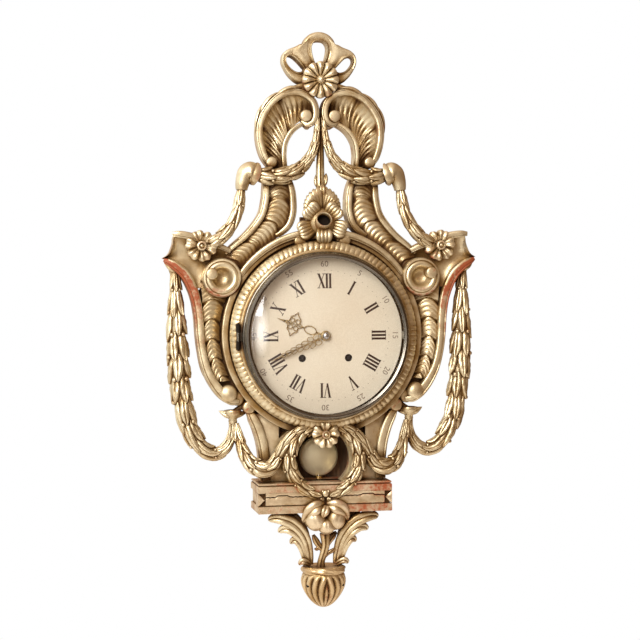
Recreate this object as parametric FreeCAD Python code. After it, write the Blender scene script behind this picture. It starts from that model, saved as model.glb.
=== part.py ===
import FreeCAD, Part
import math
import os
from FreeCAD import Vector

# Carved and gilded wall clock of the cartel kind: bow, scrolled crest, side consoles with drop garlands,
# round dial in a gadrooned surround, wreathed pendulum window, plinth and hanging finial.
# Millimetres. x runs to the right, z up, and the wall is the plane y = 0. Depths are given as distances
# forward of the wall. Places are measured from the axis of the hands. Outlines are traced for the right side.

os.makedirs("parts", exist_ok=True)

# Driving sizes
SIGHT_RADIUS = 99.0        # dial seen inside the bezel
BEZEL_WIDTH = 8.5          # bezel beyond the sight edge
DIAL_MARGIN = 5.0          # opening of the surround beyond the sight edge
LEDGE_WIDTH = 6.0          # ledge that carries the movement straps
GADROON_WIDTH = 17.5       # ribbed ring round the bezel
BAND_WIDTH = 10.0          # plain band round the ribbed ring
WINDOW_RADIUS = 37.0       # pendulum window
WINDOW_DROP = 24.5         # middle of the window below the band
WAIST_LENGTH = 53.5        # band to plinth
PLINTH_HEIGHT = 39.0
BRACKET_LENGTH = 72.5      # plinth to finial
FINIAL_LENGTH = 52.5
BOARD_THICK = 8.0          # back board
RIM_DEPTH = 34.0           # case rim between the back board and the carved boards
GROUND_THICK = 10.0        # carved boards up to the ground of their channels
RELIEF_RISE = 14.0         # raised bands above the ground
LEDGE_RISE = 10.0          # ledge in the surround above the bands
LIP_RISE = 14.0            # front lip of the surround above the ledge
BEZEL_HEIGHT = 20.0
RUNNING = 0.05             # radial clearance of every pivot
JOINT_GAP = 0.3            # air between pieces that move past each other

# Radii, heights and depths that follow from them
BEZEL_RADIUS = SIGHT_RADIUS + BEZEL_WIDTH
OPENING_RADIUS = SIGHT_RADIUS + DIAL_MARGIN
LEDGE_RADIUS = OPENING_RADIUS - LEDGE_WIDTH
GADROON_RADIUS = BEZEL_RADIUS + GADROON_WIDTH
BAND_RADIUS = GADROON_RADIUS + BAND_WIDTH
WINDOW_Z = -BAND_RADIUS - WINDOW_DROP
WAIST_FOOT = -BAND_RADIUS - WAIST_LENGTH
PLINTH_FOOT = WAIST_FOOT - PLINTH_HEIGHT
FINIAL_TOP = PLINTH_FOOT - BRACKET_LENGTH
FINIAL_TIP = FINIAL_TOP - FINIAL_LENGTH
RIM_FRONT = BOARD_THICK + RIM_DEPTH
GROUND = RIM_FRONT + GROUND_THICK
RELIEF = GROUND + RELIEF_RISE
LEDGE = RELIEF + LEDGE_RISE
LIP = LEDGE + LIP_RISE
BEZEL_FRONT = LIP + BEZEL_HEIGHT


# Shared ways of making a piece

def at(x, z, forward=0.0):
    return Vector(x, -forward, z)


def curve(points):
    spline = Part.BSplineCurve()
    spline.interpolate([at(x, z) for x, z in points])
    return spline


def line(a, b):
    return Part.makeLine(at(*a), at(*b))


def bow_arc(a, b, c):
    return Part.Arc(at(*a), at(*b), at(*c)).toShape()


def slab(edges, back, front):
    face = Part.Face(Part.Wire(Part.__sortEdges__(edges)))
    face.translate(at(0, 0, back))
    return face.extrude(at(0, 0, front - back))


def polygon_slab(points, back, front):
    corners = [at(x, z) for x, z in points]
    return slab(Part.makePolygon(corners + corners[:1]).Edges, back, front)


def closed_slab(points, back, front):
    spline = Part.BSplineCurve()
    spline.interpolate([at(x, z) for x, z in points], True)
    return slab([spline.toShape()], back, front)


def disc(x, z, radius, back, front):
    return Part.makeCylinder(radius, front - back, at(x, z, back), at(0, 0, 1))


def block(x0, x1, z0, z1, back, front):
    return Part.makeBox(x1 - x0, front - back, z1 - z0, Vector(x0, -front, z0))


def turned(profile, x=0.0, z=0.0):
    # profile: (radius, forward) corners, turned about an axis that points forward
    corners = [Vector(radius, -forward, 0) for radius, forward in profile]
    face = Part.Face(Part.makePolygon(corners + corners[:1]))
    solid = face.revolve(Vector(0, 0, 0), Vector(0, 1, 0), 360)
    solid.translate(at(x, z))
    return solid


def upright(profile, x, forward):
    # profile: (radius, z) corners, turned about an upright axis
    corners = [Vector(radius, 0, z) for radius, z in profile]
    face = Part.Face(Part.makePolygon(corners + corners[:1]))
    solid = face.revolve(Vector(0, 0, 0), Vector(0, 0, 1), 360)
    solid.translate(Vector(x, -forward, 0))
    return solid


def joined(*shapes):
    whole = shapes[0].fuse(list(shapes[1:]))
    return whole.removeSplitter()


def mirrored(shape):
    return shape.mirror(Vector(0, 0, 0), Vector(1, 0, 0))


def along(spline, share):
    first, last = spline.FirstParameter, spline.LastParameter
    place = first + (last - first) * share
    tangent = spline.tangent(place)[0]
    return spline.value(place), tangent, Vector(-tangent.z, 0, tangent.x)


def strap(points, width, back, front):
    # flat strap of even width with round ends
    spline = curve(points)
    shares = [step / (2.0 * len(points)) for step in range(2 * len(points) + 1)]
    left, right = [], []
    for share in shares:
        place, tangent, side = along(spline, share)
        left.append(place + side * (width / 2))
        right.append(place - side * (width / 2))
    edges = []
    for row in (left, right):
        edge = Part.BSplineCurve()
        edge.interpolate(row)
        edges.append(edge.toShape())
    start, tangent, side = along(spline, 0)
    edges.append(Part.Arc(left[0], start - tangent * (width / 2), right[0]).toShape())
    end, tangent, side = along(spline, 1)
    edges.append(Part.Arc(left[-1], end + tangent * (width / 2), right[-1]).toShape())
    return slab(edges, back, front)


def garland(stations, tiers, root=None):
    # bundle of overlapping leaf tiers that flare and step back; stations: (x, z, forward, radius).
    # With a root depth the back is flat there, without one the bundle is round.
    spline = Part.BSplineCurve()
    spline.interpolate([at(x, z, forward) for x, z, forward, radius in stations])
    knots = spline.getKnots()
    places = [(knot - knots[0]) / (knots[-1] - knots[0]) for knot in knots]

    def radius_at(share):
        leg = 0
        while share > places[leg + 1] and leg < len(places) - 2:
            leg += 1
        part = (share - places[leg]) / (places[leg + 1] - places[leg])
        return stations[leg][3] + (stations[leg + 1][3] - stations[leg][3]) * part

    rings = []
    for tier in range(tiers):
        rings.append((tier / tiers, 0.74))
        rings.append(((tier + 0.84) / tiers, 1.0))
    rings.append((1.0, 0.6))
    wires = []
    for share, swell in rings:
        place, tangent, side = along(spline, share)
        side.normalize()
        crown = side.cross(tangent) if side.cross(tangent).y < 0 else tangent.cross(side)
        radius = radius_at(share) * swell
        one, two = place + side * radius, place - side * radius
        edges = [Part.Arc(one, place + crown * radius, two).toShape()]
        if root is None:
            edges.append(Part.Arc(two, place - crown * radius, one).toShape())
        else:
            low_one, low_two = Vector(one.x, -root, one.z), Vector(two.x, -root, two.z)
            edges += [Part.makeLine(two, low_two), Part.makeLine(low_two, low_one)]
            edges.append(Part.makeLine(low_one, one))
        wires.append(Part.Wire(edges))
    return Part.makeLoft(wires, True, True)


def scalloped(radius, lobes, dip, x, z, forward, turn=0.0):
    # closed outline of equal round lobes
    step = 2 * math.pi / lobes

    def spot(reach, angle):
        return at(x + reach * math.sin(angle), z + reach * math.cos(angle), forward)

    arcs = []
    for lobe in range(lobes):
        middle = turn + lobe * step
        start = spot(radius - dip, middle - step / 2)
        end = spot(radius - dip, middle + step / 2)
        arcs.append(Part.Arc(start, spot(radius, middle), end).toShape())
    return Part.Wire(arcs)


def rosette(x, z, radius, lobes, back, height, turn=0.0):
    levels = ((1.0, 0.0), (1.0, 0.45), (0.62, 0.8), (0.3, 0.62))
    wires = []
    for scale, rise in levels[:3]:
        wires.append(scalloped(radius * scale, lobes, radius * scale * 0.2, x, z, back + height * rise, turn))
    petals = Part.makeLoft(wires, True, True)
    button = Part.makeSphere(radius * levels[3][0], at(x, z, back + height * levels[3][1]))
    button = button.common(disc(x, z, radius, back, back + height))
    return joined(petals, button)


def above_ring(points):
    # outline given by its rise over the top of the band
    return [(x, BAND_RADIUS + rise) for x, rise in points]


def beside_ring(points):
    # outline given by its reach beyond the side of the band
    return [(BAND_RADIUS + reach, z) for reach, z in points]


def below_ring(points):
    # outline given by its rise over the foot of the band
    return [(x, rise - BAND_RADIUS) for x, rise in points]


def on_band(angle, extra=0.0):
    # point on the outer edge of the band, angle from the vertical
    reach = BAND_RADIUS + extra
    return (reach * math.sin(math.radians(angle)), reach * math.cos(math.radians(angle)))


def largest(shape):
    return max(shape.Solids, key=lambda solid: abs(solid.Volume))


solids = {}


def keep(name, shape):
    solids[name] = shape


# Dial surround: turned ring with ledge, lip and band, and the pierced waist below it

ring = turned([(LEDGE_RADIUS, RIM_FRONT), (LEDGE_RADIUS, LEDGE), (OPENING_RADIUS, LEDGE),
               (OPENING_RADIUS, LIP), (BEZEL_RADIUS + 2, LIP), (BEZEL_RADIUS + 4, LIP - 2),
               (BEZEL_RADIUS + 9, LIP - 6), (GADROON_RADIUS - 4, LIP - 13),
               (GADROON_RADIUS - 1, RELIEF + 2), (GADROON_RADIUS, RELIEF - 2), (GADROON_RADIUS + 1, RELIEF),
               (BAND_RADIUS - 1.5, RELIEF), (BAND_RADIUS, RELIEF - 2), (BAND_RADIUS, RIM_FRONT)])
flower_seat = RELIEF + 4
rosette_seat = RELIEF + 8
ring = ring.cut(block(-17, 17, -BAND_RADIUS - 5, -BEZEL_RADIUS - 2.1, rosette_seat, LIP + 5))
ring = ring.cut(block(-31, 31, BEZEL_RADIUS + 2.1, BAND_RADIUS + 5, flower_seat, LIP + 5))
waist_front = GROUND + 8
waist_half = 90.0
waist_side = [(waist_half, -math.sqrt(BAND_RADIUS ** 2 - waist_half ** 2))]
waist_side += below_ring([(waist_half - 5.5, 17.0), (waist_half - 9, -3.0), (waist_half - 10, -23.0)])
waist_side.append((waist_half - 9.4, WAIST_FOOT))
waist_other = [(-x, z) for x, z in waist_side]
waist_edges = [curve(waist_side).toShape(), line(waist_side[-1], waist_other[-1]),
               curve(waist_other).toShape(),
               line(waist_side[0], (0, -BEZEL_RADIUS)), line((0, -BEZEL_RADIUS), waist_other[0])]
waist = slab(waist_edges, RIM_FRONT, waist_front)
waist = waist.cut(disc(0, WINDOW_Z, WINDOW_RADIUS, RIM_FRONT - 1, waist_front + 1))
waist_strap_line = below_ring([(waist_half + 5, 36.0), (waist_half - 5, 22.0), (waist_half - 11.5, 4.0),
                               (waist_half - 15, -17.0)])
waist_strap_line.append((waist_half - 15.4, WAIST_FOOT + 6))
waist_strap = strap(waist_strap_line, 10.0, RIM_FRONT + 2, RELIEF)
waist = waist.cut(disc(0, 0, GADROON_RADIUS - 5, RIM_FRONT - 1, RELIEF))
surround = joined(ring, waist, waist_strap, mirrored(waist_strap))
keep("dial_surround", surround)


# Crest: two mirrored scrolls, each an S of ground board with raised bands and volutes

crest_outer = [(0, 170), (10, 177), (31, 184), (48, 182.5), (63, 172), (74.5, 159), (82, 144), (84.5, 127),
               (83, 110), (78, 93), (75, 75), (75, 55), (76, 40.5), (80.5, 21), (90, 5), (101.5, -9),
               (117, -22)]
crest_inner = [(48, -8.4), (36.5, 5), (32, 21), (32, 40.5), (37, 56), (42, 70), (43.5, 87), (43.5, 100),
               (41, 115), (33, 127.5), (18, 135), (8, 137), (2, 141), (0, 145)]


outer, inner = above_ring(crest_outer), above_ring(crest_inner)
band_start, band_end = on_band(21.0, JOINT_GAP), on_band(47.0, JOINT_GAP)
crest_board = slab([curve(outer).toShape(), line(outer[-1], band_end),
                    bow_arc(band_end, on_band(34.0, JOINT_GAP), band_start), line(band_start, inner[0]),
                    curve(inner).toShape(), line(inner[-1], outer[0])], RIM_FRONT, GROUND)
scroll_band = [(24, 141), (16, 137), (8, 141), (5, 152), (9, 166), (20, 175.5), (33, 178.5), (47, 176),
               (60, 167.5), (70, 155.5), (77, 142), (79.5, 127), (78, 111), (73.5, 96), (68, 86.5),
               (60, 84.5)]
crest_half = joined(
    crest_board,
    strap(above_ring(scroll_band), 7.5, GROUND - 2, RELIEF),
    disc(17, BAND_RADIUS + 148, 7.5, GROUND - 2, RELIEF + 2),
    disc(63, BAND_RADIUS + 92, 7.5, GROUND - 2, RELIEF + 2),
    strap(above_ring([(21, 138.5), (35, 130), (44.5, 116), (47.5, 101), (47, 86), (45.5, 70)]), 6.0,
          GROUND - 2, RELIEF),
    strap(above_ring([(42, 62), (36.3, 41), (36.3, 22), (41, 8), (51, -2)]), 6.0, GROUND - 2, RELIEF),
    strap(above_ring([(71, 62), (71.6, 41), (76, 22), (86, 7), (98, -6.5), (112, -18)]), 5.5, GROUND - 2,
          RELIEF))
crest = joined(crest_half, mirrored(crest_half))
keep("crest_frame", crest)


# Ribbon bow with three open loops, and the daisy rosette over its knot

bow_side = above_ring([(0, 257.6), (10.4, 255), (18.2, 248.5), (22, 240.7), (31, 236), (41.6, 233),
                       (48, 226.4), (49.4, 217.3), (45.5, 207), (39, 198), (28.6, 189), (0, 179)])
bow_half = slab([curve(bow_side).toShape(), line(bow_side[-1], bow_side[0])], RIM_FRONT + 4, RELIEF - 4)
bow = joined(bow_half, mirrored(bow_half))
loop_top = above_ring([(0, 244.6), (7.5, 242.5), (10.2, 235), (8.3, 224), (5.5, 217), (0, 215)])
bow_holes = [closed_slab(loop_top + [(-x, z) for x, z in loop_top[-2:0:-1]], RIM_FRONT, RELIEF + 5)]
side_loop = strap(above_ring([(25.5, 205.5), (33, 211), (39.5, 218)]), 8.0, RIM_FRONT, RELIEF + 5)
bow_holes += [side_loop, mirrored(side_loop)]
crest_rosette_z = BAND_RADIUS + 194.0
crest_rosette = rosette(0, crest_rosette_z, 23.5, 12, RELIEF, 10.0)
knot = disc(0, crest_rosette_z, 15.0, RIM_FRONT + 4, RELIEF)
for hole in bow_holes:
    bow = bow.cut(hole)
bow = joined(bow, knot).cut(crest)
keep("ribbon_bow", bow)
keep("crest_rosette", crest_rosette)


# Palmette flower: stem and fan on the crest axis, open flower with a hollow socket below

flower_z = BAND_RADIUS + 10.5
fan = above_ring([(3.5, 146), (3.5, 61), (9, 57), (16, 49), (20.5, 39), (18, 31), (24, 23), (20, 15),
                  (12, 12), (0, 12)])
stem_fan = polygon_slab(fan + [(-x, z) for x, z in fan[-2::-1]], RIM_FRONT + 10, RELIEF - 2)
flower = Part.makeLoft([scalloped(30.0 * scale, 7, 6.0 * scale, 0, flower_z, flower_seat + rise, math.pi / 7)
                        for scale, rise in ((0.8, 0.0), (1.0, 9.0), (0.45, 13.0))], True, True)
stalk = disc(0, flower_z + 12, 8.0, RELIEF - 6, flower_seat + 4)
socket = disc(0, flower_z, 10.0, flower_seat, flower_seat + 19)
socket_hole = disc(0, flower_z, 7.5, flower_seat + 5, flower_seat + 20)
palmette = joined(stem_fan, stalk, flower, socket).cut(socket_hole).cut(crest).cut(surround)
keep("palmette_flower", palmette)


# Consoles: ear, volute, ribbed channel between bands and lower volute, fitted round the band

ear_top = beside_ring([(-18, 113.5), (0, 119.5), (25, 128), (45, 134), (58, 136.5), (61.8, 131), (60.5, 116),
                       (64, 107), (71.5, 99.5)])
console_outer = beside_ring([(71.5, 99.5), (68, 95), (58, 90), (47, 82), (38, 70), (32, 54), (29.5, 30),
                             (28.5, 0), (26.5, -22), (21, -45), (11, -64), (-4, -80), (-19, -87.5),
                             (-26, -88)])
console_low, console_high = on_band(127.0, JOINT_GAP), on_band(47.0, JOINT_GAP)
console_board = slab([curve(ear_top).toShape(), curve(console_outer).toShape(),
                      line(console_outer[-1], console_low),
                      bow_arc(console_low, on_band(90.0, JOINT_GAP), console_high),
                      line(console_high, ear_top[0])],
                     RIM_FRONT, GROUND + 2)
ear_face = beside_ring([(-16, 113), (2, 119), (25, 126.5), (45, 132.5), (57, 135), (60, 130), (58.8, 115),
                        (62.5, 106), (69, 99.5), (61, 96.5), (45, 93), (25, 98), (5, 101), (-11, 103)])
volute_x, volute_z = BAND_RADIUS - 5, 76.0
volute = disc(volute_x, volute_z, 24.5, RIM_FRONT, RELIEF + 10)
volute = volute.cut(disc(volute_x - 2, volute_z, 18.0, RELIEF - 2, RELIEF + 12))
console_strap = beside_ring([(64, 95.5), (52, 88.5), (41.5, 77.5), (33.5, 62), (28, 45), (25.4, 28),
                             (24.4, 0), (22.4, -20), (17, -42), (7.5, -60), (-6, -74)])
console_half = joined(
    console_board, polygon_slab(ear_face, GROUND, RELIEF), volute,
    disc(volute_x + 14, volute_z + 4, 8.5, GROUND, RELIEF + 14),
    strap(console_strap, 8.0, GROUND, RELIEF + 2),
    disc(BAND_RADIUS - 16, -74, 13.0, RIM_FRONT, RELIEF + 4))
console_half = console_half.cut(surround).cut(crest)
keep("console_right", console_half)
keep("console_left", mirrored(console_half))
ear_rosette = rosette(BAND_RADIUS + 21, 115.7, 19.5, 6, RELIEF, 13.0)
keep("ear_rosettes", Part.makeCompound([ear_rosette, mirrored(ear_rosette)]))


# Upper garlands: from the crest axis to the smooth elbow on the shoulder, and from there down to the ear

swag_line = [(4.5, 133, 2.5), (7.6, 113, 4.5), (15, 94, 6.5), (28, 79.5, 9), (47, 71, 11.5), (62, 69.5, 12),
             (78, 73, 11)]
shoulder_line = [(23.7, 91, 7), (26.9, 80.3, 7), (30.5, 68, 7), (34.4, 56.4, 7.5), (39.2, 48.4, 8.5),
                 (45.3, 46.4, 9), (49.6, 51.6, 8)]
garland_root = RELIEF + 3
swag_stations = [(x, BAND_RADIUS + rise, garland_root, radius) for x, rise, radius in swag_line]
shoulder_stations = [(*on_band(angle, extra), garland_root, radius) for angle, extra, radius in shoulder_line]
elbow_x, elbow_z, elbow_radius, elbow_mid = 94.0, BAND_RADIUS + 78, 12.2, RELIEF - 2
elbow = joined(Part.makeSphere(elbow_radius, at(elbow_x, elbow_z, elbow_mid)),
               Part.makeCylinder(elbow_radius, 20.0, at(elbow_x, elbow_z, elbow_mid), at(-1, 0)),
               Part.makeCylinder(elbow_radius - 2, 22.0, at(elbow_x, elbow_z, elbow_mid), at(0.2, -0.98)))
upper_half = joined(garland(swag_stations, 9, RELIEF), garland(shoulder_stations, 7, RELIEF), elbow)
upper_half = largest(upper_half.cut(crest).cut(console_half).cut(ear_rosette))
keep("upper_garland_right", upper_half)
keep("upper_garland_left", mirrored(upper_half))


# Drop garlands: hanging from the ears, hooked up at the foot into a bud that is pegged to the band

drop_mid = GROUND + 4
drop_fall = [(53.5, 90, 4), (53.3, 76, 5), (53, 58, 7), (52.5, 36, 10), (52, 10, 13), (51, -15, 14.5),
             (49.5, -45, 15), (47.5, -72, 14.5)]
drop_hook = [(43, 37, 14), (34, 11, 13), (21, -8, 11.5), (7, -15, 10), (-7, -11, 8.5), (-16, 1, 6.5),
             (-19, 16, 5.5), (-19, 27, 5)]
drop_stations = [(BAND_RADIUS + reach, z, drop_mid, radius) for reach, z, radius in drop_fall]
drop_stations += [(BAND_RADIUS + reach, rise - BAND_RADIUS, drop_mid, radius)
                  for reach, rise, radius in drop_hook]
bud_x = drop_stations[-1][0]
bud_profile = below_ring([(0, 23), (5.5, 23), (7.5, 29), (13.5, 37), (10, 41), (0, 43)])
bud = upright(bud_profile, bud_x, drop_mid)
peg_x, peg_z, peg_depth = bud_x + 2, 34 - BAND_RADIUS, 6.0
peg_length = math.hypot(peg_x, peg_z) - BAND_RADIUS + peg_depth
bud_peg = Part.makeCylinder(4.0, peg_length, at(peg_x, peg_z, drop_mid), at(-peg_x, -peg_z))
drop_half = joined(garland(drop_stations, 16), bud, bud_peg).cut(console_half).cut(surround)
drop_half = largest(drop_half)
keep("drop_garland_right", drop_half)
keep("drop_garland_left", mirrored(drop_half))


# Wreath round the pendulum window with its rosette, and the lower swags beside it

wreath_tube, wreath_level = 9.7, RELIEF + 10
wreath_radius = WINDOW_RADIUS + wreath_tube - 0.5
wreath_rosette = rosette(0, WINDOW_Z + wreath_radius - 12, 15.5, 5, rosette_seat, 16.0)
wreath_line = []
for angle in range(0, 181, 20):
    across = wreath_radius * math.sin(math.radians(angle))
    down = wreath_radius * math.cos(math.radians(angle))
    wreath_line.append((across, WINDOW_Z - down, wreath_level, wreath_tube))
wreath_half = garland(wreath_line, 9, waist_front)
berry = disc(0, WINDOW_Z - wreath_radius, 7.0, waist_front, wreath_level + 7)
wreath = largest(joined(wreath_half, mirrored(wreath_half), berry).cut(wreath_rosette).cut(surround))
keep("wreath", wreath)
keep("wreath_rosette", wreath_rosette)
swag_bend = 79.0
swag_rise = [(0.892, 21, -8, 4), (0.797, 5, -5, 5.5), (0.662, -14, 0, 7.5), (0.405, -29, 5, 10.5)]
swag_low = [(swag_bend + share * (bud_x - swag_bend), rise, lift, radius)
            for share, rise, lift, radius in swag_rise]
swag_low += [(swag_bend, -35.5, 7, 12), (66, -28, 7, 10), (59.5, -14, 8, 7.5), (54, 1, 12, 6.5),
             (44, 13, 16, 6), (31, 20, 21, 5)]
swag_low_stations = [(x, rise - BAND_RADIUS, RELIEF + lift, radius) for x, rise, lift, radius in swag_low]
low_half = garland(swag_low_stations, 10).cut(wreath).cut(wreath_rosette).cut(drop_half).cut(surround)
low_half = largest(low_half)
keep("lower_swag_right", low_half)
keep("lower_swag_left", mirrored(low_half))


# Plinth: moulded block with returns, sunk front panel and a pocket for the foot of the case

plinth_half, plinth_front, plinth_back = 94.0, RELIEF + 17, BOARD_THICK + 4
plinth_profile = [(-3.0, PLINTH_FOOT), (-7.0, PLINTH_FOOT + 4), (-7.0, WAIST_FOOT - 8),
                  (-1.5, WAIST_FOOT - 5), (-1.5, WAIST_FOOT)]
front_run = [Vector(-plinth_half, -(plinth_front + inset), z) for inset, z in plinth_profile]
front_run += [Vector(-plinth_half, -plinth_back, WAIST_FOOT), Vector(-plinth_half, -plinth_back, PLINTH_FOOT)]
front_moulding = Part.Face(Part.makePolygon(front_run + front_run[:1])).extrude(Vector(2 * plinth_half, 0, 0))
side_run = [(plinth_half + inset, z) for inset, z in plinth_profile]
side_moulding = polygon_slab(side_run + [(-x, z) for x, z in side_run[::-1]], plinth_back, plinth_front)
case_half, case_foot, case_wall = 72.0, PLINTH_FOOT + 13.5, 8.0
plinth = front_moulding.common(side_moulding)
panel_half, panel_low, panel_high = 78.0, PLINTH_FOOT + 10, WAIST_FOOT - 13
plinth = plinth.cut(block(-panel_half, panel_half, panel_low, panel_high, plinth_front - 10,
                          plinth_front + 1))
plinth = plinth.cut(block(-case_half - JOINT_GAP, case_half + JOINT_GAP, case_foot - JOINT_GAP,
                          WAIST_FOOT + 1, plinth_back - 1, RIM_FRONT))
plinth = plinth.cut(disc(0, WINDOW_Z, wreath_radius + wreath_tube + JOINT_GAP, waist_front, plinth_front + 1))
keep("plinth", plinth)


# Fruit with three round lobes hung on the foot of the plinth front

fruit_mid = RELIEF + 8
fruit_lobes = [(-12.5, 3.5, 15.5), (12.5, 3.5, 15.5), (2.0, 15.5, 13.5)]
fruit = joined(*[Part.makeSphere(radius, at(x, PLINTH_FOOT - drop, fruit_mid),
                                 at(0, 0, 1)).cut(plinth).cut(wreath)
                 for x, drop, radius in fruit_lobes])
fruit = largest(fruit)
keep("fruit", fruit)


# Finial: fluted bud below a lip, with the twig that rises from it to the fruit

finial_mid, flutes = RELIEF - 6, 14


def fluted(radius, z):
    wire = scalloped(radius, flutes, radius * 0.07, 0, 0, 0)
    wire.rotate(Vector(0, 0, 0), Vector(1, 0, 0), 90)
    wire.translate(Vector(0, -finial_mid, z))
    return wire


bud_sections = ((27.0, 0.0), (28.6, 0.114), (26.6, 0.17), (28.6, 0.38), (26.5, 0.57), (20.0, 0.78),
                (9.0, 0.943), (3.0, 1.0))
finial_bud = Part.makeLoft([fluted(radius, FINIAL_TOP - share * FINIAL_LENGTH)
                            for radius, share in bud_sections], True, True)


def hung(points):
    # outline between the plinth and the finial, given by its share of the way down
    return [(x, PLINTH_FOOT - share * BRACKET_LENGTH) for x, share in points]


finial = joined(finial_bud, strap(hung([(0, 1.02), (1.0, 0.82), (3.5, 0.6), (1.5, 0.39)]), 7.0,
                                  finial_mid - 4, finial_mid + 6),
                strap(hung([(3, 0.64), (9, 0.53), (12, 0.48)]), 5.0, finial_mid - 3, finial_mid + 4),
                strap(hung([(2, 0.67), (-6, 0.59), (-8, 0.5)]), 5.0, finial_mid - 3, finial_mid + 4))
finial = largest(finial.cut(fruit))
keep("finial", finial)


# Acanthus leaf brackets from the foot of the plinth to the lip of the finial

lip_share = 1 - JOINT_GAP / BRACKET_LENGTH
leaf = hung([(39, 0), (60, 0), (71.5, 0.097), (62, 0.145), (55, 0.214), (58.5, 0.324), (48, 0.338),
             (40, 0.42), (43, 0.545), (34, 0.559), (29.5, 0.697), (33, 0.876), (27, 0.959), (20, lip_share),
             (13.5, lip_share), (15, 0.862), (12.8, 0.683), (18, 0.448), (29, 0.2)])
leaf_half = polygon_slab(leaf, RIM_FRONT + 6, RELIEF).cut(finial).cut(fruit)
leaf_rib = hung([(46, 0.083), (36, 0.214), (26, 0.434), (20, 0.655), (20, 0.89)])
leaf_half = joined(leaf_half, strap(leaf_rib, 6.0, RELIEF - 2, RELIEF + 4))
keep("leaf_bracket_right", leaf_half)
keep("leaf_bracket_left", mirrored(leaf_half))


# Case rim behind the carved front: drum with pendulum box, back board and hanging plate

drum_radius = OPENING_RADIUS + case_wall
case_outer = joined(disc(0, 0, drum_radius, BOARD_THICK, RIM_FRONT),
                    block(-case_half, case_half, case_foot, 0, BOARD_THICK, RIM_FRONT))
case_inner = joined(disc(0, 0, drum_radius - case_wall, BOARD_THICK - 1, RIM_FRONT + 1),
                    block(-case_half + case_wall, case_half - case_wall, case_foot + case_wall, 0,
                          BOARD_THICK - 1, RIM_FRONT + 1))
keep("case_rim", case_outer.cut(case_inner))
tongue_half, tongue_top, hook_z = 18.0, BAND_RADIUS + 20, BAND_RADIUS + 5
plate_half, plate_thick, hook_radius = 16.0, 2.0, 5.0
board = joined(disc(0, 0, drum_radius, 0, BOARD_THICK),
               block(-case_half, case_half, case_foot, 0, 0, BOARD_THICK),
               block(-tongue_half, tongue_half, 0, tongue_top, 0, BOARD_THICK))
plate_low, plate_high = hook_z - 22.0, hook_z + 14.0
board = board.cut(block(-plate_half, plate_half, plate_low, plate_high, -1, plate_thick))
board = board.cut(disc(0, hook_z, hook_radius + 6, -1, BOARD_THICK + 1))
hanging_plate = block(-plate_half, plate_half, plate_low, plate_high, 0, plate_thick)
hanging_plate = hanging_plate.cut(disc(0, hook_z, hook_radius, -1, plate_thick + 1))
keep("back_board", board)
keep("hanging_plate", hanging_plate)


# Bezel with its knuckle, domed glass, hinge and catch

glass_seat = BEZEL_FRONT - 3.5
glass_radius = SIGHT_RADIUS + 3
hinge_x, hinge_forward, pin_radius, knuckle_radius = -(BEZEL_RADIUS + 5.0), LIP + 3.0, 1.2, 2.6
knuckle_half, leaf_length = 5.5, 16.0
bezel = turned([(glass_radius, LIP + JOINT_GAP), (BEZEL_RADIUS, LIP + JOINT_GAP), (BEZEL_RADIUS, LIP + 8),
                (BEZEL_RADIUS - 1.5, LIP + 10), (BEZEL_RADIUS - 1.5, LIP + 14),
                (BEZEL_RADIUS - 3.5, BEZEL_FRONT - 1), (BEZEL_RADIUS - 5, BEZEL_FRONT),
                (SIGHT_RADIUS, BEZEL_FRONT - 1), (SIGHT_RADIUS, glass_seat), (glass_radius, glass_seat)])


def hinge_knuckle(z0, z1):
    return Part.makeCylinder(knuckle_radius, z1 - z0, Vector(hinge_x, -hinge_forward, z0), Vector(0, 0, 1))


hinge_bore = Part.makeCylinder(pin_radius + RUNNING, 60, Vector(hinge_x, -hinge_forward, -30),
                               Vector(0, 0, 1))
bezel_tab = block(hinge_x, -glass_radius - 2, -knuckle_half, knuckle_half, hinge_forward - 1.5,
                  hinge_forward + 1.0)
bezel = joined(bezel, bezel_tab, hinge_knuckle(-knuckle_half, knuckle_half)).cut(hinge_bore)
keep("bezel", bezel)
fixed_leaves = []
for z0, z1 in ((knuckle_half + JOINT_GAP, leaf_length), (-leaf_length, -knuckle_half - JOINT_GAP)):
    foot = block(hinge_x - knuckle_radius, hinge_x + 1.5, z0, z1, LIP - 10, hinge_forward).cut(surround)
    foot = max(foot.Solids, key=lambda solid: solid.CenterOfMass.y * -1)
    fixed_leaves.append(joined(foot, hinge_knuckle(z0, z1)).cut(hinge_bore))
keep("hinge_leaf", Part.makeCompound(fixed_leaves))
pin_foot = Vector(hinge_x, -hinge_forward, -leaf_length - 1.5)
keep("hinge_pin", Part.makeCylinder(pin_radius, 2 * leaf_length + 3, pin_foot, Vector(0, 0, 1)))
dome_rise, glass_thick = 12.0, 2.0


def dome_arc(radius, edge, rise):
    return Part.Arc(Vector(0, -(edge + rise), 0), Vector(radius / 2, -(edge + rise * 0.75), 0),
                    Vector(radius, -edge, 0)).toShape()


def dome(radius, back_edge, front_edge, rise):
    # thin turned shell, highest at the axis
    edges = [dome_arc(radius, back_edge, rise), dome_arc(radius, front_edge, rise),
             Part.makeLine(Vector(0, -(back_edge + rise), 0), Vector(0, -(front_edge + rise), 0)),
             Part.makeLine(Vector(radius, -back_edge, 0), Vector(radius, -front_edge, 0))]
    face = Part.Face(Part.Wire(Part.__sortEdges__(edges)))
    return face.revolve(Vector(0, 0, 0), Vector(0, 1, 0), 360)


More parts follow.
